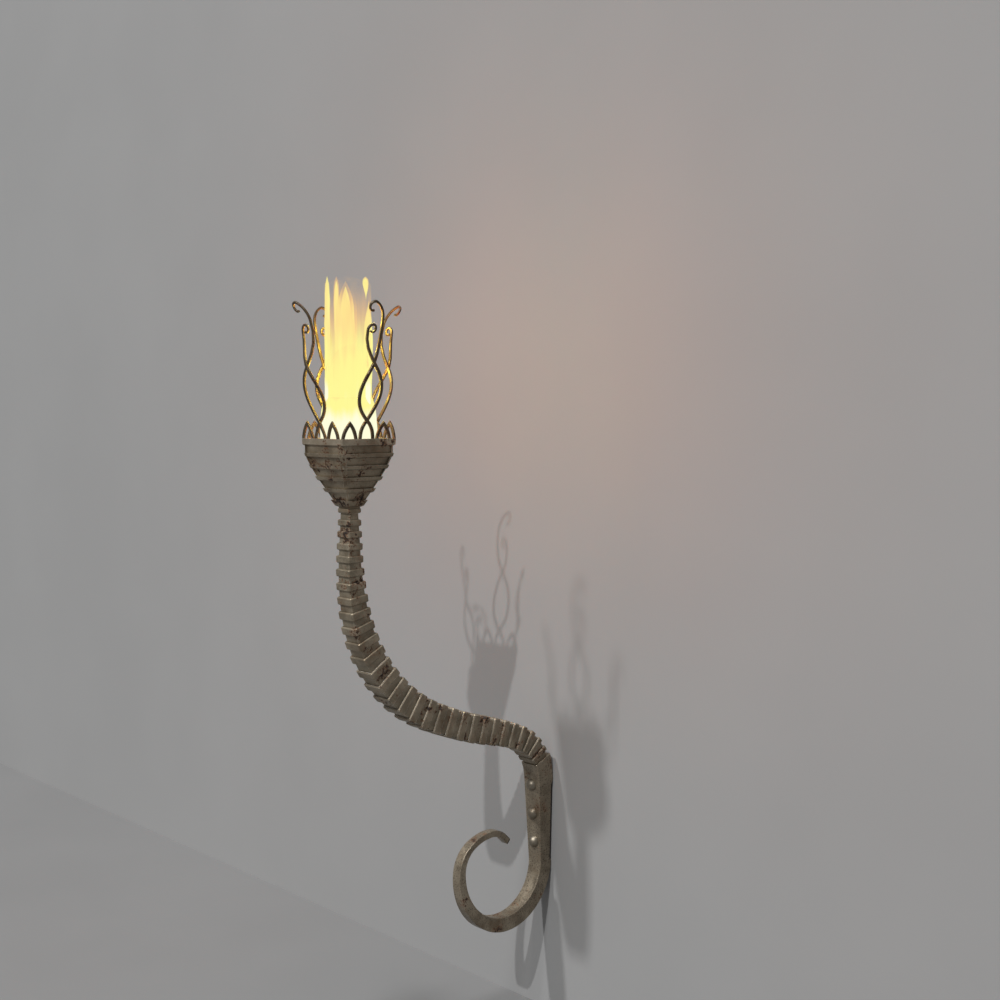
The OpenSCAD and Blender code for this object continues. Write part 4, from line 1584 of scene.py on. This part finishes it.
@dataclass
class Flame:
    """The flame above the wick, as nested closed shells of glowing gas. Millimetres from the rim's middle."""

    cup: Cup
    view_turn: float = 46.7
    shells: tuple[tuple[float, float], ...] = ((1.0, -0.42), (0.78, -0.12), (0.5, 0.15))
    tongues: tuple[Tongue, ...] = (
        Tongue(0, -8, 100, 42.5, 1.85, 0.0, 0.05, 1.0, 0, 0, 2),
        Tongue(0, -5, 165, 33.0, 1.45, 0.1, 0.4, 1.08),
        Tongue(-3.5, -4, 239, 17, 1.6, 0.25, 0.7, 0.9, 0, 2),
        Tongue(-30.5, 6, 239.5, 4.2, 1.35, 0.95, 0.8, 0.8, 0, 0, 2),
        Tongue(-29, -4, 120, 5, 2.4, 0.4, 0.3, 0.9, 0, -16, 1),
        Tongue(29, -4, 130, 5.5, 2.4, 0.4, 0.3, 0.9, 0, -16, 1),
        Tongue(-16.5, 120, 239, 4.5, 1.0, 0.6, 0.7, 0.6, 0, -4, 2),
        Tongue(27.5, 40, 204, 7, 1.3, 0.9, 0.4, 0.9, 3.5, 0, 2),
        Tongue(27, 206, 239.5, 4.4, 0.95, 0.8, 0.7, 0.1, -0.5, 0, 2),
        Tongue(0, 10, 240, 35, 1.25, 0.45, 0.94, 1.0, 0, 0, 1),
    )

    def build_tongue(self, number: int, tongue: Tongue, size: float, cooler: float) -> bpy.types.Object:
        """Draws one shell of a tongue up from a small circle, and notes its heat in the mesh.

        Args:
            number: The tongue's number.
            tongue: Its sizes.
            size: The shell's share of the tongue's width.
            cooler: What the shell adds to the tongue's heat.

        Returns:
            The shell, in its place.
        """
        Bench.clear()
        bpy.ops.mesh.primitive_circle_add(radius=MM, vertices=24, fill_type="NGON", location=(0, 0, 0))
        piece = bpy.context.object
        piece.name = piece.data.name = f"tongue_{number}"
        bpy.ops.object.mode_set(mode="EDIT")
        bpy.ops.mesh.select_all(action="SELECT")
        rows = 20
        root, tip = tongue.root + 4 * (1 - size), tongue.tip - 30 * (1 - size) * min(1.0, (tongue.tip - tongue.root) / 100)
        last_r, last_z, last_u = 1.0, 0.0, 0.0
        for row in range(rows + 1):
            share = row / rows
            z = mix(root, tip, share)
            if share < tongue.fullest:
                radius = tongue.half * mix(tongue.start, 1, smooth(share / tongue.fullest))
            else:
                radius = tongue.half * math.cos(math.pi / 2 * ((share - tongue.fullest) / (1 - tongue.fullest)) ** 2)
            radius = max(radius * size, 0.12)
            across = tongue.across + tongue.lean * share
            if row == 0:
                bpy.ops.transform.translate(value=(across * MM, 0, z * MM))
            else:
                bpy.ops.mesh.extrude_region_move(TRANSFORM_OT_translate={"value": ((across - last_u) * MM, 0, (z - last_z) * MM)})
            bpy.ops.transform.resize(value=(radius / last_r, radius / last_r, 1), center_override=(across * MM, 0, z * MM))
            last_r, last_z, last_u = radius, z, across
        Bench.close(piece, 80)
        heat = piece.data.attributes.new("gas_heat", "FLOAT", "POINT")
        for vertex, spot in zip(piece.data.vertices, heat.data):
            share = clamp01((vertex.co.z / MM - root) / (tip - root))
            spot.value = mix(tongue.heat, tongue.fade, share**1.6) + cooler
        piece.data.transform(Matrix.Translation((0, tongue.back * MM, 0)))
        return piece

    def build(self) -> None:
        """Builds the flame and puts it on the burner. It casts no shadow, as its light comes from all of the gas."""
        pieces = [self.build_tongue(number, tongue, size, cooler)
                  for number, tongue in enumerate(self.tongues) for size, cooler in self.shells[:tongue.shells]]
        flame = Bench.join("flame", pieces)
        flame.data.transform(self.cup.place @ Matrix.Rotation(math.radians(self.view_turn), 4, "Z"))
        Bench.hammer(flame, 2.5, 24)
        flame.visible_shadow = False
        dress(flame, Fire("fire").make())
        settle(flame, "burner")


# ---------------------------------------------------------------- studio


@dataclass(frozen=True)
class Lamp:
    """One square lamp: the way to it from the torch, how far it stands, its size in metres and its power in watts."""

    name: str
    way: tuple[float, float, float]
    distance: float
    size: float
    power: float


@dataclass
class Studio:
    """Camera, pale wall and floor, lamps and the flame's glow."""

    grey: Colour = Colour(152, 152, 152)
    backdrop: Colour = Colour(147, 147, 147)
    floor_grey: Colour = Colour(129, 129, 129)
    floor_z: float = -0.35
    ambient: float = 0.25
    aim: Vector = field(default_factory=lambda: Vector((0, -0.3, 0.35)))
    lamps: tuple[Lamp, ...] = (
        Lamp("key_right", (0.2224, -0.680, 0.6985), 60.0, 0.8, 14900),
        Lamp("key_left", (-0.121, -0.595, 0.794), 60.0, 2.0, 18900),
        Lamp("top", (0.14, -0.25, 0.958), 12.0, 0.9, 420),
    )
    glow_heights: tuple[float, ...] = (15, 50, 85, 120, 155)
    glow_power: float = 3.4
    glow_colour: tuple[float, float, float] = (1.0, 0.13, 0.02)
    lick_heights: tuple[float, ...] = (30, 65, 100, 135, 170)
    lick_gap: float = 15.0
    lick_power: float = 1.1
    lick_colour: tuple[float, float, float] = (1.0, 0.8, 0.12)

    def add_camera(self) -> None:
        """Adds the camera where the picture was taken."""
        data = bpy.data.cameras.new("camera")
        data.sensor_width = 36.0
        data.lens = 50.181
        data.clip_end = 60.0
        camera = bpy.data.objects.new("camera", data)
        camera.location = (1.67186, -1.68281, 0.70721)
        camera.rotation_euler = (math.radians(85.90), 0, math.radians(46.714))
        bpy.context.scene.collection.objects.link(camera)
        bpy.context.scene.camera = camera

    def add_world(self) -> None:
        """Adds the even light of the room, which the camera and rays passing through see as the plain backdrop."""
        world = bpy.data.worlds.new("room")
        world.use_nodes = True
        w = Wiring(world.node_tree)
        ambient = world.node_tree.nodes["Background"]
        ambient.inputs["Color"].default_value = (1, 1, 1, 1)
        ambient.inputs["Strength"].default_value = self.ambient
        plain = w.node("ShaderNodeBackground")
        plain.inputs["Color"].default_value = self.backdrop.linear
        path = w.node("ShaderNodeLightPath")
        seen = w.sum("MAXIMUM", path.outputs["Is Camera Ray"], path.outputs["Is Transmission Ray"])
        both = w.node("ShaderNodeMixShader")
        w.join(seen, both.inputs[0])
        w.join(ambient.outputs[0], both.inputs[1])
        w.join(plain.outputs[0], both.inputs[2])
        w.join(both.outputs[0], world.node_tree.nodes["World Output"].inputs["Surface"])
        bpy.context.scene.world = world

    @staticmethod
    def plaster(name: str, grey: Colour) -> bpy.types.Material:
        """Pale plaster that shows from its front only, so that the torch can be seen from behind the wall.

        Args:
            name: The material's name.
            grey: Its colour.

        Returns:
            The material.
        """
        material = bpy.data.materials.new(name)
        material.use_nodes = True
        w = Wiring(material.node_tree)
        shader = material.node_tree.nodes["Principled BSDF"]
        place = w.node("ShaderNodeTexCoord").outputs["Object"]
        soft = w.noise(place, 1.6, 3.0)
        tint = w.blend(w.ramp(soft, 0.3, 0.7), grey.linear, Colour(grey.red - 3, grey.green - 3, grey.blue - 3).linear)
        w.join(tint, shader.inputs["Base Color"])
        shader.inputs["Roughness"].default_value = 0.9
        shader.inputs["Specular IOR Level"].default_value = 0.2
        side = w.node("ShaderNodeNewGeometry")
        clear = w.node("ShaderNodeBsdfTransparent")
        both = w.node("ShaderNodeMixShader")
        w.join(side.outputs["Backfacing"], both.inputs[0])
        w.join(shader.outputs[0], both.inputs[1])
        w.join(clear.outputs[0], both.inputs[2])
        w.join(both.outputs[0], material.node_tree.nodes["Material Output"].inputs["Surface"])
        return material

    def add_wall(self) -> None:
        """Adds the wall that the torch hangs on and the floor, folded from one sheet."""
        Bench.clear()
        bpy.ops.mesh.primitive_plane_add(size=16.0, location=(0, 0.0006, 8 + self.floor_z), rotation=(math.pi / 2, 0, 0))
        sheet = bpy.context.object
        sheet.name = sheet.data.name = "wall_and_floor"
        Bench.fix_place(sheet)
        Bench.open(sheet)
        bpy.ops.mesh.select_mode(type="EDGE")
        form = bmesh.from_edit_mesh(sheet.data)
        for edge in form.edges:
            edge.select_set(all(abs(v.co.z - self.floor_z) < 1e-4 for v in edge.verts))
        bmesh.update_edit_mesh(sheet.data)
        bpy.ops.mesh.extrude_edges_move(TRANSFORM_OT_translate={"value": (0, -9, 0)})
        bpy.ops.mesh.select_all(action="SELECT")
        bpy.ops.mesh.normals_make_consistent(inside=False)
        bpy.ops.object.mode_set(mode="OBJECT")
        tall = max(sheet.data.polygons, key=lambda face: face.center.z)
        if tall.normal.y > 0:
            sheet.data.flip_normals()
        sheet.data.materials.append(self.plaster("wall_plaster", self.grey))
        sheet.data.materials.append(self.plaster("floor_plaster", self.floor_grey))
        for face in sheet.data.polygons:
            face.material_index = int(face.normal.z > 0.5)

    def add_lamp(self, lamp: Lamp) -> None:
        """Adds one soft lamp, aimed at the arm.

        Args:
            lamp: The lamp's place, size and power.
        """
        data = bpy.data.lights.new(lamp.name, "AREA")
        data.size = lamp.size
        data.energy = lamp.power
        stand = bpy.data.objects.new(lamp.name, data)
        way = Vector(lamp.way).normalized()
        stand.location = self.aim + way * lamp.distance
        stand.rotation_euler = (-way).to_track_quat("-Z", "Y").to_euler()
        bpy.context.scene.collection.objects.link(stand)

    @staticmethod
    def add_points(name: str, places: Sequence[Vector], power: float, colour: tuple[float, float, float], soft: float) -> None:
        """Shares a power out between small round lamps.

        Args:
            name: Name of the lamps.
            places: Where they hang.
            power: Their power together, in watts.
            colour: Their colour.
            soft: Radius of each.
        """
        for number, place in enumerate(places):
            data = bpy.data.lights.new(f"{name}_{number}", "POINT")
            data.energy = power / len(places)
            data.color = colour
            data.shadow_soft_size = soft
            lamp = bpy.data.objects.new(data.name, data)
            lamp.location = place
            bpy.context.scene.collection.objects.link(lamp)

    def add_glow(self, crown: Crown) -> None:
        """Adds the flame's own light: red from its middle, and yellow from its edges, close to the crown.

        Args:
            crown: The crown round the flame.
        """
        place = crown.cup.place
        middle = [place @ Vector((0, 0, height * MM)) for height in self.glow_heights]
        self.add_points("flame_glow", middle, self.glow_power, self.glow_colour, 0.02)
        edge = [place @ (Vector((x * (crown.flare(z) - self.lick_gap), y * (crown.flare(z) - self.lick_gap), z)) * MM)
                for z in self.lick_heights for x, y in ((1, 0), (0, 1), (-1, 0), (0, -1))]
        self.add_points("flame_lick", edge, self.lick_power, self.lick_colour, 0.006)

    def build(self, crown: Crown) -> None:
        """Sets up the whole studio.

        Args:
            crown: The crown round the flame.
        """
        self.add_camera()
        self.add_world()
        self.add_wall()
        for lamp in self.lamps:
            self.add_lamp(lamp)
        self.add_glow(crown)
        bpy.context.scene.view_settings.view_transform = "Standard"


def main() -> None:
    """Builds the torch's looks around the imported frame."""
    logging.basicConfig(level=logging.INFO, format="%(name)s: %(message)s")
    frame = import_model()
    finishes = Finishes()
    bar = WallBar()
    bar.build(finishes)
    arm = Arm(bar.end)
    arm.build(finishes)
    cup = Cup(arm.top.across, arm.top.up + 112.0)
    cup.build(finishes)
    crown = Crown(cup)
    crown.build(finishes)
    Burner(frame["nodes"]).build(finishes)
    Flame(cup).build()
    Studio().build(crown)


if __name__ == "__main__":
    main()
